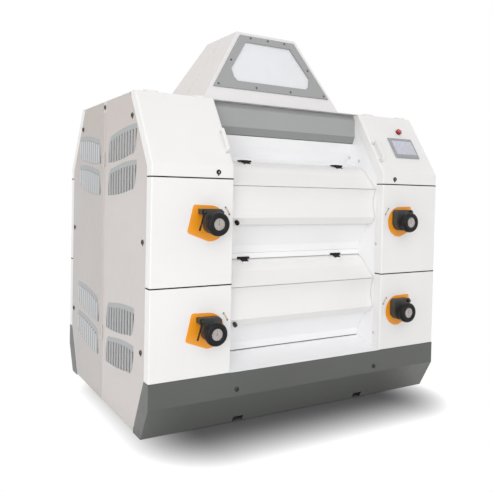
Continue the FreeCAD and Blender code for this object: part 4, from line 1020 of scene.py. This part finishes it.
@dataclass
class Screws:
    """Button head screws with a hexagon socket."""

    finishes: Finishes
    radius: float = 8.0
    height: float = 4.4
    socket: float = 3.6

    def hexagon(self, radius: float, angle: float) -> float:
        """Turns the socket's rings into a hexagon."""
        if radius > self.socket + 0.01:
            return radius
        return radius * math.cos(math.pi / 6) / math.cos(angle % (math.pi / 3) - math.pi / 6)

    def add(self, shape: Shape, frame: Matrix, scale: float = 1.0) -> None:
        """Adds one screw head.

        Args:
            shape: The mesh that it joins.
            frame: Its seat, with Z outward.
            scale: Size against the usual one.
        """
        size, tall = self.radius, self.height
        profile = [(0, -0.4), (size, -0.4), (size, 0.9), (size * 0.93, 2.2), (size * 0.74, tall - 0.8), (size * 0.5, tall)]
        profile += [(self.socket, tall), (self.socket, tall - 2.6), (0, tall - 2.6)]
        shape.lathe(profile, frame @ Matrix.Scale(scale, 4), 24, self.hexagon)

    def wall_spots(self) -> list[Matrix]:
        """Seats in the bay's side wall, right front quarter."""
        spots = ((438.0, 1528.0), (534.0, 1502.0), (710.0, 975.0), (709.0, 411.0))
        return [facing((MACHINE.wall_x, -across, high), (-1, 0, 0)) @ Matrix.Scale(1.35, 4) for across, high in spots]

    def skirt_spots(self) -> list[Matrix]:
        """Seats in the skirt, right front quarter."""
        return [facing((490.0, -MACHINE.half_depth, 217.0), (0, -1, 0)) @ Matrix.Scale(1.65, 4)]

    def build(self) -> None:
        """Adds the screws of walls and skirt, all on the casing."""
        for name, spots, finish in (
            ("wall_screws", self.wall_spots(), "screw_light"),
            ("skirt_screws", self.skirt_spots(), "screw_dark"),
        ):
            for quarter in Quarter.every():
                shape = Shape()
                for spot in spots:
                    self.add(shape, spot)
                shape.build(f"{name}_{quarter.name}", [self.finishes[finish]], "casing", quarter.mirror())


@dataclass
class HoodTrim:
    """Screws of the two window frames and the seams up the hood's slanted ends."""

    finishes: Finishes
    foot: tuple[float, float, float] = (531.0, 336.0, 1810.0)
    head: tuple[float, float, float] = (223.0, 206.0, 2302.0)
    proud: float = 8.0
    screws: tuple[Point2, ...] = ((-130, 472), (0, 472), (130, 472), (-293, 302), (293, 302),
                                  (-400, 132), (-130, 132), (130, 132), (400, 132))
    seam_half: float = 9.0
    seam_proud: float = 2.2

    def window_frame(self, x: float, up: float, face: Face) -> Matrix:
        """Seat on the window frame at a place along and up the hood's face."""
        rise = Vector((0, self.foot[1] - self.head[1], self.head[2] - self.foot[2])).normalized()
        outward = Vector((0, -rise.z, rise.y))
        spot = Vector((x, -self.foot[1], self.foot[2])) + rise * up + outward * self.proud
        flip = Matrix.Rotation(math.pi, 4, "Z") if face is Face.REAR else Matrix()
        return flip @ facing(spot, outward)

    def seam(self, side: Side) -> Shape:
        """Folded seam up one slanted end."""
        shape = Shape()
        foot = Vector((side.value * self.foot[0], 0, self.foot[2]))
        head = Vector((side.value * self.head[0], 0, self.head[2]))
        rise = (head - foot).normalized()
        outward = Vector((side.value * rise.z, 0, abs(rise.x)))
        length = (head - foot).length
        frame = facing(foot, outward, rise)
        outline = [(-self.seam_half, 12), (self.seam_half, 12), (self.seam_half, length - 6), (-self.seam_half, length - 6)]
        shape.prism(outline, frame, self.seam_proud, 1.6)
        return shape

    def build(self) -> None:
        """Adds the screws of both windows and both seams."""
        screws = Screws(self.finishes)
        for face in Face:
            shape = Shape()
            for x, up in self.screws:
                screws.add(shape, self.window_frame(x, up, face), 0.95)
            shape.build(f"window_screws_{face.name.lower()}", [self.finishes["screw_grey"]], "casing")
        for side in Side:
            self.seam(side).build(f"hood_seam_{side.name.lower()}", [self.finishes["hood_white"]], "casing")


@dataclass
class QuarterTurnLocks:
    """Black quarter-turn locks on lids and end doors, with a three-cornered key socket and a dust tab."""

    finishes: Finishes
    radius: float = 13.6
    height: float = 5.6
    centre_lock_z: float = 1774.5
    door_locks: tuple[Point2, ...] = ((479.0, 1680.0), (660.0, 1016.0), (658.0, 450.0))
    lid_lock: Point2 = (627.0, 1384.0)

    def triangle(self, radius: float, angle: float) -> float:
        """Turns the socket's rings into a rounded triangle."""
        if radius > 6.1:
            return radius
        return radius * (0.78 + 0.22 * math.cos(3 * angle))

    def add(self, shape: Shape, frame: Matrix) -> None:
        """Adds one lock cap.

        Args:
            shape: The mesh that it joins.
            frame: Its seat, with Z outward.
        """
        size, tall = self.radius, self.height
        profile = [
            (0, -0.3), (size, -0.3), (size, 1.6), (size - 1.2, tall - 1.2), (size - 2.6, tall), (7.6, tall)
        ]
        profile += [
            (7.0, tall - 0.8), (6.0, tall - 0.8), (6.0, tall - 2.4), (2.2, tall - 2.4), (2.2, tall - 0.6)
        ]
        profile += [(0, tall - 0.6)]
        shape.lathe(profile, frame, 36, self.triangle)
        tab = frame @ Matrix.Translation((0, -(size + 1.8), 0))
        shape.lathe([(0, -0.3), (3.6, -0.3), (3.6, 1.8), (2.8, 2.6), (0, 2.8)], tab, 24)

    def build(self) -> None:
        """Adds the caps of each lid and each end door."""
        for quarter in Quarter.every():
            shape = Shape()
            for across, high in self.door_locks:
                self.add(shape, facing((MACHINE.half_length, -across, high), (1, 0, 0)))
            shape.build(
                f"door_locks_{quarter.name}", [self.finishes["lock_black"]], f"end_door_{quarter.name}", quarter.mirror()
            )
            shape = Shape()
            x, high = self.lid_lock
            self.add(shape, facing((x, -MACHINE.half_depth, high), (0, -1, 0)))
            shape.build(f"lid_lock_{quarter.name}", [self.finishes["lock_black"]], f"lid_{quarter.name}", quarter.mirror())
        for side in Side:
            shape = Shape()
            self.add(
                shape, facing((side.value * MACHINE.half_length, 0, self.centre_lock_z), (side.value, 0, 0))
            )
            shape.build(f"centre_lock_{side.name.lower()}", [self.finishes["lock_black"]], "casing")


@dataclass
class LeafGrilles:
    """Grey louvred fillings of the leaf-shaped openings in the end doors."""

    finishes: Finishes
    inner_y: float = 62.0
    width: float = 500.0
    height: float = 192.0
    centres_z: tuple[float, ...] = (361.0, 561.0, 1345.0, 1536.0)
    slots: int = 11
    slot_width: float = 16.0
    band: float = 28.0
    thickness: float = 0.9
    lip_width: float = 7.0
    lip_proud: float = 4.0

    def edges(self) -> tuple[list[Point2], list[Point2]]:
        """Lower and upper edge of a leaf, from its inner corner outward, from that corner's height."""
        wide, tall = self.width, self.height
        knee, bend, run = (0.054 * wide, 0.58 * tall), (0.09 * wide, 0.745 * tall), (
            0.184 * wide, 0.815 * tall
        )
        top = [(0.0, 0.0), knee] + arc_through(knee, bend, run, 6)
        top += arc_through(run, (0.56 * wide, 0.955 * tall), (wide, tall), 10)
        foot = [(wide - x, tall - y) for x, y in reversed(top)]
        return foot, top

    @staticmethod
    def height_at(edge: Sequence[Point2], place_x: float) -> float:
        """Height of an edge at a distance from the inner corner."""
        for (x0, y0), (x1, y1) in zip(edge, edge[1:]):
            if x0 <= place_x <= x1 and x1 > x0:
                return y0 + (y1 - y0) * (place_x - x0) / (x1 - x0)
        return edge[-1][1] if place_x > edge[0][0] else edge[0][1]

    def slot_span(self, number: int) -> Point2:
        """Inner and outer side of one slot, from the inner corner."""
        bar = (self.width - self.slots * self.slot_width) / self.slots
        start = bar / 2 + number * (self.slot_width + bar)
        return start, start + self.slot_width

    def add(self, shape: Shape, centre_z: float) -> None:
        """Adds one leaf to the right front door.

        Args:
            shape: The mesh that it joins.
            centre_z: Height of the leaf's middle.
        """
        foot, top = self.edges()
        frame = facing((MACHINE.half_length, -self.inner_y, centre_z - self.height / 2), (1, 0, 0))
        frame = frame @ Matrix.Diagonal((-1, 1, 1, 1))
        spans = [self.slot_span(number) for number in range(self.slots)]
        stops = sorted({x for x, _ in foot + top} | {x for span in spans for x in span})
        rows: list[tuple[float, float, float]] = []
        for stop in stops:
            low, high = self.height_at(foot, stop), self.height_at(top, stop)
            rows.append((stop, low, high))
        shape.ribbon([(x, max(low, high - self.band), high) for x, low, high in rows if high - low > 0.5], frame, self.thickness)
        bars = [(0.0, spans[0][0])] + [
            (a[1], b[0]) for a, b in zip(spans, spans[1:])
        ] + [(spans[-1][1], self.width)]
        for start, end in bars:
            columns = [row for row in rows if start - 1e-6 <= row[0] <= end + 1e-6]
            columns = [(x, low, high - self.band) for x, low, high in columns if high - self.band - low > 0.5]
            if len(columns) > 1:
                shape.ribbon(columns, frame, self.thickness)

    def add_lips(self, shape: Shape, centre_z: float) -> None:
        """Adds the slanted lip behind each slot of one leaf."""
        foot, top = self.edges()
        origin = Vector((MACHINE.half_length, -self.inner_y, centre_z - self.height / 2))
        for number in range(self.slots):
            start, _ = self.slot_span(number)
            low = max(self.height_at(foot, start), self.height_at(foot, start - self.lip_width)) + 3
            high = self.height_at(top, start - self.lip_width) - self.band - 3
            if high - low < 12:
                continue
            seat, rim = self.thickness, self.thickness + self.lip_proud
            outline = [
                (-start + self.lip_width, seat), (-start, rim), (-start - 0.8, rim), (-start - 0.8, seat)
            ]
            corners = []
            for level in (low, high):
                corners.append([
                    shape.mesh.verts.new(origin + Vector((proud, across, level))) for across, proud in outline
                ])
            below, above = corners
            shape.mesh.faces.new(below)
            shape.mesh.faces.new(above)
            for step in range(4):
                after = (step + 1) % 4
                shape.mesh.faces.new((below[step], below[after], above[after], above[step]))

    def build(self) -> None:
        """Adds the grey plates and their bright lips to the four doors."""
        for quarter in Quarter.every():
            body = f"end_door_{quarter.name}"
            plates, lips = Shape(), Shape()
            for centre in self.centres_z:
                self.add(plates, centre)
                self.add_lips(lips, centre)
            plates.build(
                f"leaf_grilles_{quarter.name}", [self.finishes["grille_grey"]], body, quarter.mirror()
            )
            lips.build(f"leaf_lips_{quarter.name}", [self.finishes["lip_bright"]], body, quarter.mirror())


@dataclass
class TurnMarks:
    """Small curved double arrows beside the handwheels, on the machine's middle side."""

    finishes: Finishes
    radius: float = 123.0
    start: float = math.radians(19)
    end: float = math.radians(46)
    thickness: float = 0.4
    half_width: float = 5.0

    def shape(self, deck: Deck) -> Shape:
        """Draws one arrow for the right front quarter: a thin arc with a head at both ends."""
        shape = Shape()
        frame = facing((MACHINE.wheel_x, -MACHINE.half_depth, MACHINE.wheel_z - deck.value), (0, -1, 0))
        steps = 14
        first, last = self.start + 0.06, self.end - 0.06
        angles = [first + (last - first) * step / steps for step in range(steps + 1)]
        far, near = self.radius + self.half_width, self.radius - self.half_width
        outer = [(-far * math.cos(a), far * math.sin(a)) for a in angles]
        inner = [(-near * math.cos(a), near * math.sin(a)) for a in reversed(angles)]
        shape.prism(outer + inner, frame, self.thickness)
        for base, point in ((self.start + 0.08, self.start), (self.end - 0.08, self.end)):
            tip = (-self.radius * math.cos(point), self.radius * math.sin(point))
            wings = [(-(self.radius + s * 7.0) * math.cos(base), (self.radius + s * 7.0) * math.sin(base)) for s in (-1, 1)]
            shape.prism([wings[0], tip, wings[1]], frame, self.thickness, 0, 1)
        return shape

    def build(self) -> None:
        """Adds the eight marks."""
        for deck in Deck:
            for quarter in Quarter.every():
                finishes = [self.finishes["mark_band"], self.finishes["mark_ink"]]
                name = f"turn_mark_{deck.name.lower()}_{quarter.name}"
                self.shape(deck).build(name, finishes, "casing", quarter.mirror())


@dataclass
class LidFittings:
    """Painted feet of the lids' grips."""

    finishes: Finishes
    grip_x: float = 550.0
    grip_middle: float = 304.0
    grip_length: float = 150.0
    foot_half: Point2 = (10.5, 12.0)
    foot_height: float = 2.4

    def build(self) -> None:
        """Adds a plate under each end of each grip."""
        for quarter in Quarter.every():
            shape = Shape()
            for end in (-1, 1):
                down = self.grip_middle + end * (self.grip_length / 2 - 7)
                frame = facing(MACHINE.on_slope(self.grip_x, down), MACHINE.slope_out(), MACHINE.slope_up())
                wide, tall = self.foot_half
                outline = [(-wide, -tall), (wide, -tall), (wide, tall), (-wide, tall)]
                shape.prism(outline, frame, self.foot_height, 0.8)
            name = f"grip_feet_{quarter.name}"
            shape.build(name, [self.finishes["screw_light"]], f"lid_{quarter.name}", quarter.mirror())


@dataclass
class CoverKnobs:
    """Round black pulls at the left end of the roll covers' lips."""

    finishes: Finishes
    x: float = -470.0
    spot: Point2 = (684.5, 1120.5)
    outward: Point2 = (20.0, -14.0)
    radius: float = 12.6
    waves: int = 5

    def grip(self, radius: float, angle: float) -> float:
        """Finger hollows round the head."""
        if radius < self.radius - 1.5:
            return radius
        return radius - 1.3 * (0.5 + 0.5 * math.cos(self.waves * angle)) ** 2

    def build(self) -> None:
        """Adds a pull to each roll cover."""
        size = self.radius
        for deck in Deck:
            for face in Face:
                shape = Shape()
                seat = (self.x, -self.spot[0], self.spot[1] - deck.value)
                frame = facing(seat, (0, -self.outward[0], self.outward[1]))
                profile = [
                    (0, -1), (size - 2.6, -1), (size - 2.6, 6), (size, 9), (size, 19), (size - 1.4, 22.5)
                ]
                profile += [(size - 4.5, 25.4), (0, 26.2)]
                shape.lathe(profile, frame, 60, self.grip)
                turn = Matrix.Diagonal((1, -face.value, 1, 1))
                words = f"{deck.name}_{face.name}".lower()
                finish = self.finishes["lock_black" if deck is Deck.UPPER else "screw_dark"]
                piece = shape.build(f"cover_pull_{words}", [finish], f"roll_cover_{words}", turn)


@dataclass
class ControlPanel:
    """Screen of the touch panel and the emergency button with its collar."""

    finishes: Finishes
    panel_x: float = 803.0
    panel_down: float = 262.0
    panel_proud: float = 14.0
    screen: Point2 = (178.0, 112.0)
    recess: float = 2.5
    button_x: float = 826.0
    button_down: float = 126.0
    button_radius: float = 20.0
    stem: float = 11.0
    head: Point2 = (8.0, 21.0)

    def screen_shape(self) -> Shape:
        """Glass of the screen, in its recess."""
        shape = Shape()
        lift = self.panel_proud - self.recess
        seat = MACHINE.on_slope(self.panel_x, self.panel_down, lift)
        wide, tall = self.screen[0] / 2 - 0.6, self.screen[1] / 2 - 0.6
        frame = facing(seat, MACHINE.slope_out(), MACHINE.slope_up())
        shape.prism([(-wide, -tall), (wide, -tall), (wide, tall), (-wide, tall)], frame, 1.6, 0.5)
        return shape

    def button_shape(self) -> Shape:
        """Mushroom head with a stem and three turn arrows."""
        shape = Shape()
        seat = MACHINE.on_slope(self.button_x, self.button_down)
        frame = facing(seat, MACHINE.slope_out(), MACHINE.slope_up())
        low, high = self.head
        size = self.button_radius
        profile = [(0, -3), (self.stem - 0.2, -3), (self.stem - 0.2, low), (size - 2, low), (size, low + 2), (size, low + 6.5)]
        profile += [(size - 1.2, low + 9.4), (size - 4.5, low + 11.6), (size * 0.5, high - 0.5), (0, high)]
        shape.lathe(profile, frame, 48, lambda r, a: r - (0.5 * (0.5 + 0.5 * math.cos(12 * a)) if r > size - 1.5 else 0))
        for number in range(3):
            turn = frame @ Matrix.Rotation(
                2 * math.pi * number / 3, 4, "Z"
            ) @ Matrix.Translation((0, 0, high - 0.55))
            angles = [math.radians(20 + 14 * step) for step in range(6)]
            outer = [(11.6 * math.cos(a), 11.6 * math.sin(a)) for a in angles]
            inner = [(8.8 * math.cos(a), 8.8 * math.sin(a)) for a in reversed(angles)]
            shape.prism(outer + inner, turn, 0.5, 0, 1)
            tip, base = math.radians(112), math.radians(88)
            arrow = [
                (7.0 * math.cos(base), 7.0 * math.sin(base)), (10.2 * math.cos(tip), 10.2 * math.sin(tip))
            ]
            arrow += [(13.4 * math.cos(base), 13.4 * math.sin(base))]
            shape.prism(arrow, turn, 0.5, 0, 1)
        return shape

    def collar_shape(self) -> Shape:
        """Round collar on the lid under the button."""
        shape = Shape()
        frame = facing(
            MACHINE.on_slope(self.button_x, self.button_down), MACHINE.slope_out(), MACHINE.slope_up()
        )
        inner = self.stem + 0.9
        profile = [(inner, 0), (self.button_radius - 1.5, 0), (self.button_radius - 1.5, 0.7), (self.button_radius - 2.6, 1.4)]
        shape.lathe(profile + [(inner, 1.4), (inner, 0)], frame, 48)
        return shape

    def build(self) -> None:
        """Adds screen, button and collar."""
        lid = "lid_right_front"
        screen = self.screen_shape().build("touch_screen", [self.finishes["display"]], lid)
        colours = [self.finishes["button_red"], self.finishes["arrow_white"]]
        button = self.button_shape().build("stop_button", colours, "emergency_button")
        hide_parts("emergency_button")
        self.collar_shape().build("stop_button_collar", [self.finishes["button_collar"]], lid)


@dataclass
class AdjusterFittings:
    """Stud nuts on the adjuster housings."""

    finishes: Finishes
    ear: Point2 = (57.0, 62.0)
    lever_face_y: float = 818.4

    @staticmethod
    def hexagon(radius: float, angle: float) -> float:
        """Turns the nut's wide rings into a hexagon."""
        if radius < 7.5:
            return radius
        return radius * math.cos(math.pi / 6) / math.cos(angle % (math.pi / 3) - math.pi / 6)

    def build(self) -> None:
        """Adds a stud nut over each clamp lever, on the casing."""
        for deck in Deck:
            for quarter in Quarter.every():
                shape = Shape()
                x, z = MACHINE.wheel_x + self.ear[0], MACHINE.wheel_z - deck.value + self.ear[1]
                frame = facing((x, -self.lever_face_y, z), (0, -1, 0))
                profile = [(0, 0.2), (9.0, 0.2), (9.0, 4.2), (8.0, 5.2), (5.3, 5.6), (4.2, 6.4), (0, 6.4)]
                shape.lathe(profile, frame, 30, self.hexagon)
                words = f"{deck.name.lower()}_{quarter.name}"
                shape.build(f"stud_nut_{words}", [self.finishes["screw_dark"]], "casing", quarter.mirror())


@dataclass
class HingeStraps:
    """Black straps over the moving leaves of the feed flaps' hinges."""

    finishes: Finishes
    hinge_x: float = 340.0
    half_width: float = 20.25
    axis: Point2 = (-545.0, 1462.0)
    knuckle: float = 6.75
    strap: tuple[Point2, ...] = (
        (-547.5, 1452.6), (-573.5, 1438.4), (-577.0, 1446.1), (-551.0, 1462.8), (-545.0, 1462.0)
    )

    def add(self, shape: Shape, x: float, drop: float) -> None:
        """Adds one strap with its knuckle and two rivets.

        Args:
            shape: The mesh that it joins.
            x: Place along the machine.
            drop: Height below the upper deck.
        """
        frame = Matrix(((0, 0, 1, x - self.half_width), (1, 0, 0, 0), (0, 1, 0, -drop), (0, 0, 0, 1)))
        shape.prism(self.strap, frame, 2 * self.half_width)
        across, high = self.axis
        barrel = facing((x - self.half_width, across, high - drop), (1, 0, 0))
        size, long = self.knuckle, 2 * self.half_width
        shape.lathe([(3.6, 0), (size - 0.6, 0), (size, 0.6), (size, long - 0.6), (size - 0.6, long), (3.6, long)], barrel, 32)
        (low_y, low_z), (top_y, top_z) = self.strap[2], self.strap[3]
        run = Vector((0, top_y - low_y, top_z - low_z)).normalized()
        outward = Vector((0, -run.z, run.y))
        for side in (-1, 1):
            seat = Vector((x + side * 10.0, low_y, low_z - drop)) + run * 12.0
            shape.lathe([(0, -0.3), (3.4, -0.3), (3.1, 0.7), (1.8, 1.4), (0, 1.6)], facing(seat, outward), 18)

    def build(self) -> None:
        """Adds the straps of the four flaps."""
        for deck in Deck:
            for face in Face:
                shape = Shape()
                for side in Side:
                    self.add(shape, side.value * self.hinge_x, deck.value)
                words = f"{deck.name}_{face.name}".lower()
                turn = Matrix.Diagonal((1, -face.value, 1, 1))
                piece = shape.build(
                    f"hinge_straps_{words}", [self.finishes["hinge_black"]], f"feed_flap_{words}", turn
                )


@dataclass
class FrontFolds:
    """Thin folded edges of the white sheets between the columns."""

    finishes: Finishes
    half: float = 532.7
    lip_edge: tuple[Point2, ...] = ((-628.0, 1092.2), (-632.0, 1098.4), (-629.6, 1099.9), (-625.5, 1093.7))
    hem_half: float = 529.8
    hem: tuple[Point2, ...] = ((-547.8, 1453.1), (-542.9, 1455.8), (-541.9, 1454.0), (-546.8, 1451.3))
    apron_y: float = 545.0
    apron_z: tuple[float, float, float] = (897.0, 908.5, 929.0)
    apron_depth: float = 2.4
    hinge_x: float = 340.0
    hinge_half: float = 42.0

    @staticmethod
    def along(half: float, drop: float) -> Matrix:
        """Frame for a Y-Z outline that runs from end to end of the bay.

        Args:
            half: Half the length of the run.
            drop: How far the deck lies below the upper one.

        Returns:
            Matrix from the outline's plane to the mill.
        """
        return Matrix(((0, 0, 1, -half), (1, 0, 0, 0), (0, 1, 0, -drop), (0, 0, 0, 1)))

    def apron(self) -> list[Point2]:
        """Outline of the strip over the lower flap, with notches for its hinges.

        Returns:
            Points of the outline in order.
        """
        low, notch, high = self.apron_z
        points = [(self.half, high), (-self.half, high), (-self.half, low)]
        for side in (-1, 1):
            start, end = side * self.hinge_x - self.hinge_half, side * self.hinge_x + self.hinge_half
            points += [(start, low), (start, notch), (end, notch), (end, low)]
        return points + [(self.half, low)]

    def build(self) -> None:
        """Adds the edges under the covers' lips, the flaps' hems, and the strips over the lower flaps."""
        for face in Face:
            turn = Matrix.Diagonal((1, -face.value, 1, 1))
            for deck in Deck:
                words = f"{deck.name}_{face.name}".lower()
                shape = Shape()
                shape.prism(self.lip_edge, self.along(self.half, deck.value), 2 * self.half)
                # The edge takes the bay's lighter white, painted light.
                shape.build(f"sheet_edge_{words}", [self.finishes["bay_white"]], "casing", turn)
                shape = Shape()
                shape.prism(self.hem, self.along(self.hem_half, deck.value), 2 * self.hem_half)
                hem = shape.build(
                    f"flap_hem_{words}", [self.finishes["panel_white"]], f"feed_flap_{words}", turn
                )
            shape = Shape()
            frame = facing((0, -self.apron_y, 0), (0, -1, 0))
            shape.prism(self.apron(), frame, self.apron_depth)
            # The strip takes the bay's lighter white, painted light.
            shape.build(f"apron_{face.name.lower()}", [self.finishes["bay_white"]], "casing", turn)


@dataclass
class Seals:
    """Dark rubber seals in the level seams of the columns, each with a thin lip over the panel below."""

    finishes: Finishes
    seams_z: Point2 = (790.0, 1352.0)
    half_height: float = 1.7
    depth: float = 58.0
    width: float = 5.0
    proud: float = 0.7
    lip: float = 2.8
    corner: float = 8.0

    def ring(self, inset: float) -> list[Point2]:
        """Three-sided line round a column, right front quarter, with round corners."""
        near, far = MACHINE.wall_x + self.corner, MACHINE.half_length - self.corner
        front, back = -MACHINE.half_depth + self.corner, -MACHINE.half_depth + self.depth
        reach = self.corner - inset
        turns = [math.radians(18 * step) for step in range(6)]
        start = [(near - reach * math.cos(turn), front - reach * math.sin(turn)) for turn in turns]
        end = [(far + reach * math.sin(turn), front - reach * math.cos(turn)) for turn in turns]
        return [(near - reach, back), *start, *end, (far + reach, back)]

    def build(self) -> None:
        """Adds the seals of each column."""
        seal = self.ring(-self.proud) + self.ring(self.width)[::-1]
        lip = self.ring(-self.proud) + self.ring(-0.05)[::-1]
        for quarter in Quarter.every():
            shape = Shape()
            for high in self.seams_z:
                shape.prism(seal, Matrix.Translation((0, 0, high - self.half_height)), 2 * self.half_height)
                shape.prism(lip, Matrix.Translation((0, 0, high - self.half_height - self.lip)), self.lip)
            shape.build(
                f"seam_seals_{quarter.name}", [self.finishes["seal_black"]], "casing", quarter.mirror()
            )


@dataclass
class Studio:
    """White floor and surroundings, soft lamps, and the camera."""

    location: tuple[float, float, float] = (-2.0911, -3.5412, 1.2768)
    yaw: float = math.radians(30.49)
    pitch: float = math.radians(-1.447)
    roll: float = math.radians(1.204)
    lens: float = 43.742
    shift_up: float = -0.0766
    ambient: float = 0.60
    floor_half: float = 30.0
    # Block round the mill where the floor shows its darker grey, painted shade, and the distance over which that fades
    # to white.
    shade_centre: Point2 = (-0.04, -0.29)
    shade_half: Point2 = (0.62, 0.43)
    fade: Point2 = (0.0, 0.42)

    def camera(self) -> None:
        """Makes the camera that looks at the left front corner."""
        ahead = Vector((
            math.sin(self.yaw) * math.cos(
                self.pitch
            ), math.cos(self.yaw) * math.cos(self.pitch), math.sin(self.pitch)
        ))
        level = Vector((math.cos(self.yaw), -math.sin(self.yaw), 0))
        above = level.cross(ahead)
        x_axis = level * math.cos(self.roll) + above * math.sin(self.roll)
        y_axis = above * math.cos(self.roll) - level * math.sin(self.roll)
        data = bpy.data.cameras.new("camera")
        data.sensor_width, data.lens, data.shift_y = 36.0, self.lens, self.shift_up
        data.clip_start, data.clip_end = 0.05, 200.0
        camera = bpy.data.objects.new("camera", data)
        bpy.context.scene.collection.objects.link(camera)
        turn = Matrix((x_axis, y_axis, -ahead)).transposed().to_4x4()
        camera.matrix_world = Matrix.Translation(Vector(self.location)) @ turn
        bpy.context.scene.camera = camera

    @staticmethod
    def seen_plain(nodes: bpy.types.Nodes, links: bpy.types.NodeLinks) -> bpy.types.NodeSocket:
        """1 for what the camera, a mirror or a clear piece shows directly."""
        path = nodes.new("ShaderNodeLightPath")
        total = path.outputs["Is Camera Ray"]
        for name in ("Is Glossy Ray", "Is Transmission Ray"):
            node = nodes.new("ShaderNodeMath")
            node.operation = "MAXIMUM"
            links.new(total, node.inputs[0])
            links.new(path.outputs[name], node.inputs[1])
            total = node.outputs[0]
        return total

    def world(self) -> None:
        """White surroundings that light the mill at a lower level than they show."""
        world = bpy.data.worlds.new("studio")
        world.use_nodes = True
        nodes, links = world.node_tree.nodes, world.node_tree.links
        back = nodes["Background"]
        back.inputs["Color"].default_value = (1, 1, 1, 1)
        level = nodes.new("ShaderNodeMapRange")
        level.inputs["To Min"].default_value = self.ambient
        level.inputs["To Max"].default_value = 1.0
        links.new(self.seen_plain(nodes, links), level.inputs["Value"])
        links.new(level.outputs["Result"], back.inputs["Strength"])
        bpy.context.scene.world = world

    def off_shade(self, graph: Graph) -> bpy.types.NodeSocket:
        """Distance on the floor from the block of painted shade round the mill, which also holds the mill's real
        shadow.

        Args:
            graph: The floor's material.

        Returns:
            The distance in metres, 0 within the block.
        """
        split = graph.nodes.new("ShaderNodeSeparateXYZ")
        graph.links.new(graph.place, split.inputs[0])
        squares = []
        for axis, middle, half in zip("XY", self.shade_centre, self.shade_half):
            across = graph.sums("ABSOLUTE", graph.sums("SUBTRACT", split.outputs[axis], middle))
            past = graph.sums("MAXIMUM", graph.sums("SUBTRACT", across, half), 0.0)
            squares.append(graph.sums("POWER", past, 2.0))
        return graph.sums("SQRT", graph.sums("ADD", squares[0], squares[1]))

    def floor(self) -> None:
        """Pale floor that keeps the mill's shadow and fades to white away from it; where the camera sees it near the
        mill it is a darker grey, painted shade that deepens that shadow.
        """
        shape = Shape()
        half = self.floor_half / METRES
        corners = [(-half, -half), (half, -half), (half, half), (-half, half)]
        shape.mesh.faces.new([shape.mesh.verts.new((x, y, -0.5)) for x, y in corners])
        graph = Graph("floor_pale")
        seen = self.seen_plain(graph.nodes, graph.links)
        # Pale for light that bounces off the floor; darker grey where the camera sees it, painted shade over the real
        # shadow.
        graph.colours(seen, shade(236, 236, 236), shade(120, 120, 121))
        graph.rough(graph.between(graph.noise(5.0, 2.0), 0.8, 0.9))
        graph.plain(Specular_IOR_Level=0.1)
        glow = graph.nodes.new("ShaderNodeEmission")
        fade = graph.nodes.new("ShaderNodeMapRange")
        fade.inputs["From Min"].default_value, fade.inputs["From Max"].default_value = self.fade
        graph.links.new(self.off_shade(graph), fade.inputs["Value"])
        mix = graph.nodes.new("ShaderNodeMixShader")
        faded = graph.sums("POWER", fade.outputs["Result"], 2.0)
        graph.links.new(graph.sums("MULTIPLY", faded, seen), mix.inputs[0])
        graph.links.new(graph.shader.outputs[0], mix.inputs[1])
        graph.links.new(glow.outputs[0], mix.inputs[2])
        graph.links.new(mix.outputs[0], graph.nodes["Material Output"].inputs["Surface"])
        mesh = shape.data("floor", [graph.material])
        floor = bpy.data.objects.new("floor", mesh)
        bpy.context.scene.collection.objects.link(floor)

    @staticmethod
    def lamp(data: bpy.types.Light, towards: Sequence[float], spot: Sequence[float] = (0, 0, 0)) -> None:
        """Adds one soft lamp.

        Args:
            data: The lamp's kind, strength and size.
            towards: Direction of its light.
            spot: Its place.
        """
        lamp = bpy.data.objects.new(data.name, data)
        bpy.context.scene.collection.objects.link(lamp)
        lamp.rotation_mode = "QUATERNION"
        lamp.rotation_quaternion = Vector(towards).to_track_quat("-Z", "Y")
        lamp.location = spot

    def lamps(self) -> None:
        """Makes a wide lamp at the left front, a weak far one behind it, and one from above."""
        near = bpy.data.lights.new("near", "AREA")
        near.shape, near.size, near.energy = "DISK", 2.6, 55.0
        spot = Vector((-4.0, -4.2, 1.6))
        self.lamp(near, Vector((-0.3, -0.3, 1.0)) - spot, spot)
        for name, strength, spread, towards in (
            ("front", 0.68, 50, (0.30, 0.80, -0.52)),
            ("top", 0.55, 30, (0.30, -0.42, -0.86)),
        ):
            data = bpy.data.lights.new(name, "SUN")
            data.energy, data.angle = strength, math.radians(spread)
            self.lamp(data, towards)

    def build(self) -> None:
        """Makes the whole studio."""
        self.camera()
        self.world()
        self.floor()
        self.lamps()
        view = bpy.context.scene.view_settings
        view.view_transform = "Standard"


def main() -> None:
    """Loads the frame, dresses it, and builds the pieces and the studio in order."""
    logging.basicConfig(level=logging.INFO, format="%(name)s: %(message)s")
    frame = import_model()
    finishes = Palette().finishes()
    CoatedFrame(frame["nodes"], finishes).dress()
    Handwheel(finishes).build()
    ClampLever(finishes).build()
    AdjusterFittings(finishes).build()
    QuarterTurnLocks(finishes).build()
    LeafGrilles(finishes).build()
    LidFittings(finishes).build()
    CoverKnobs(finishes).build()
    ControlPanel(finishes).build()
    HoodTrim(finishes).build()
    HingeStraps(finishes).build()
    FrontFolds(finishes).build()
    Seals(finishes).build()
    Screws(finishes).build()
    TurnMarks(finishes).build()
    Studio().build()
    bpy.context.view_layer.update()


if __name__ == "__main__":
    main()
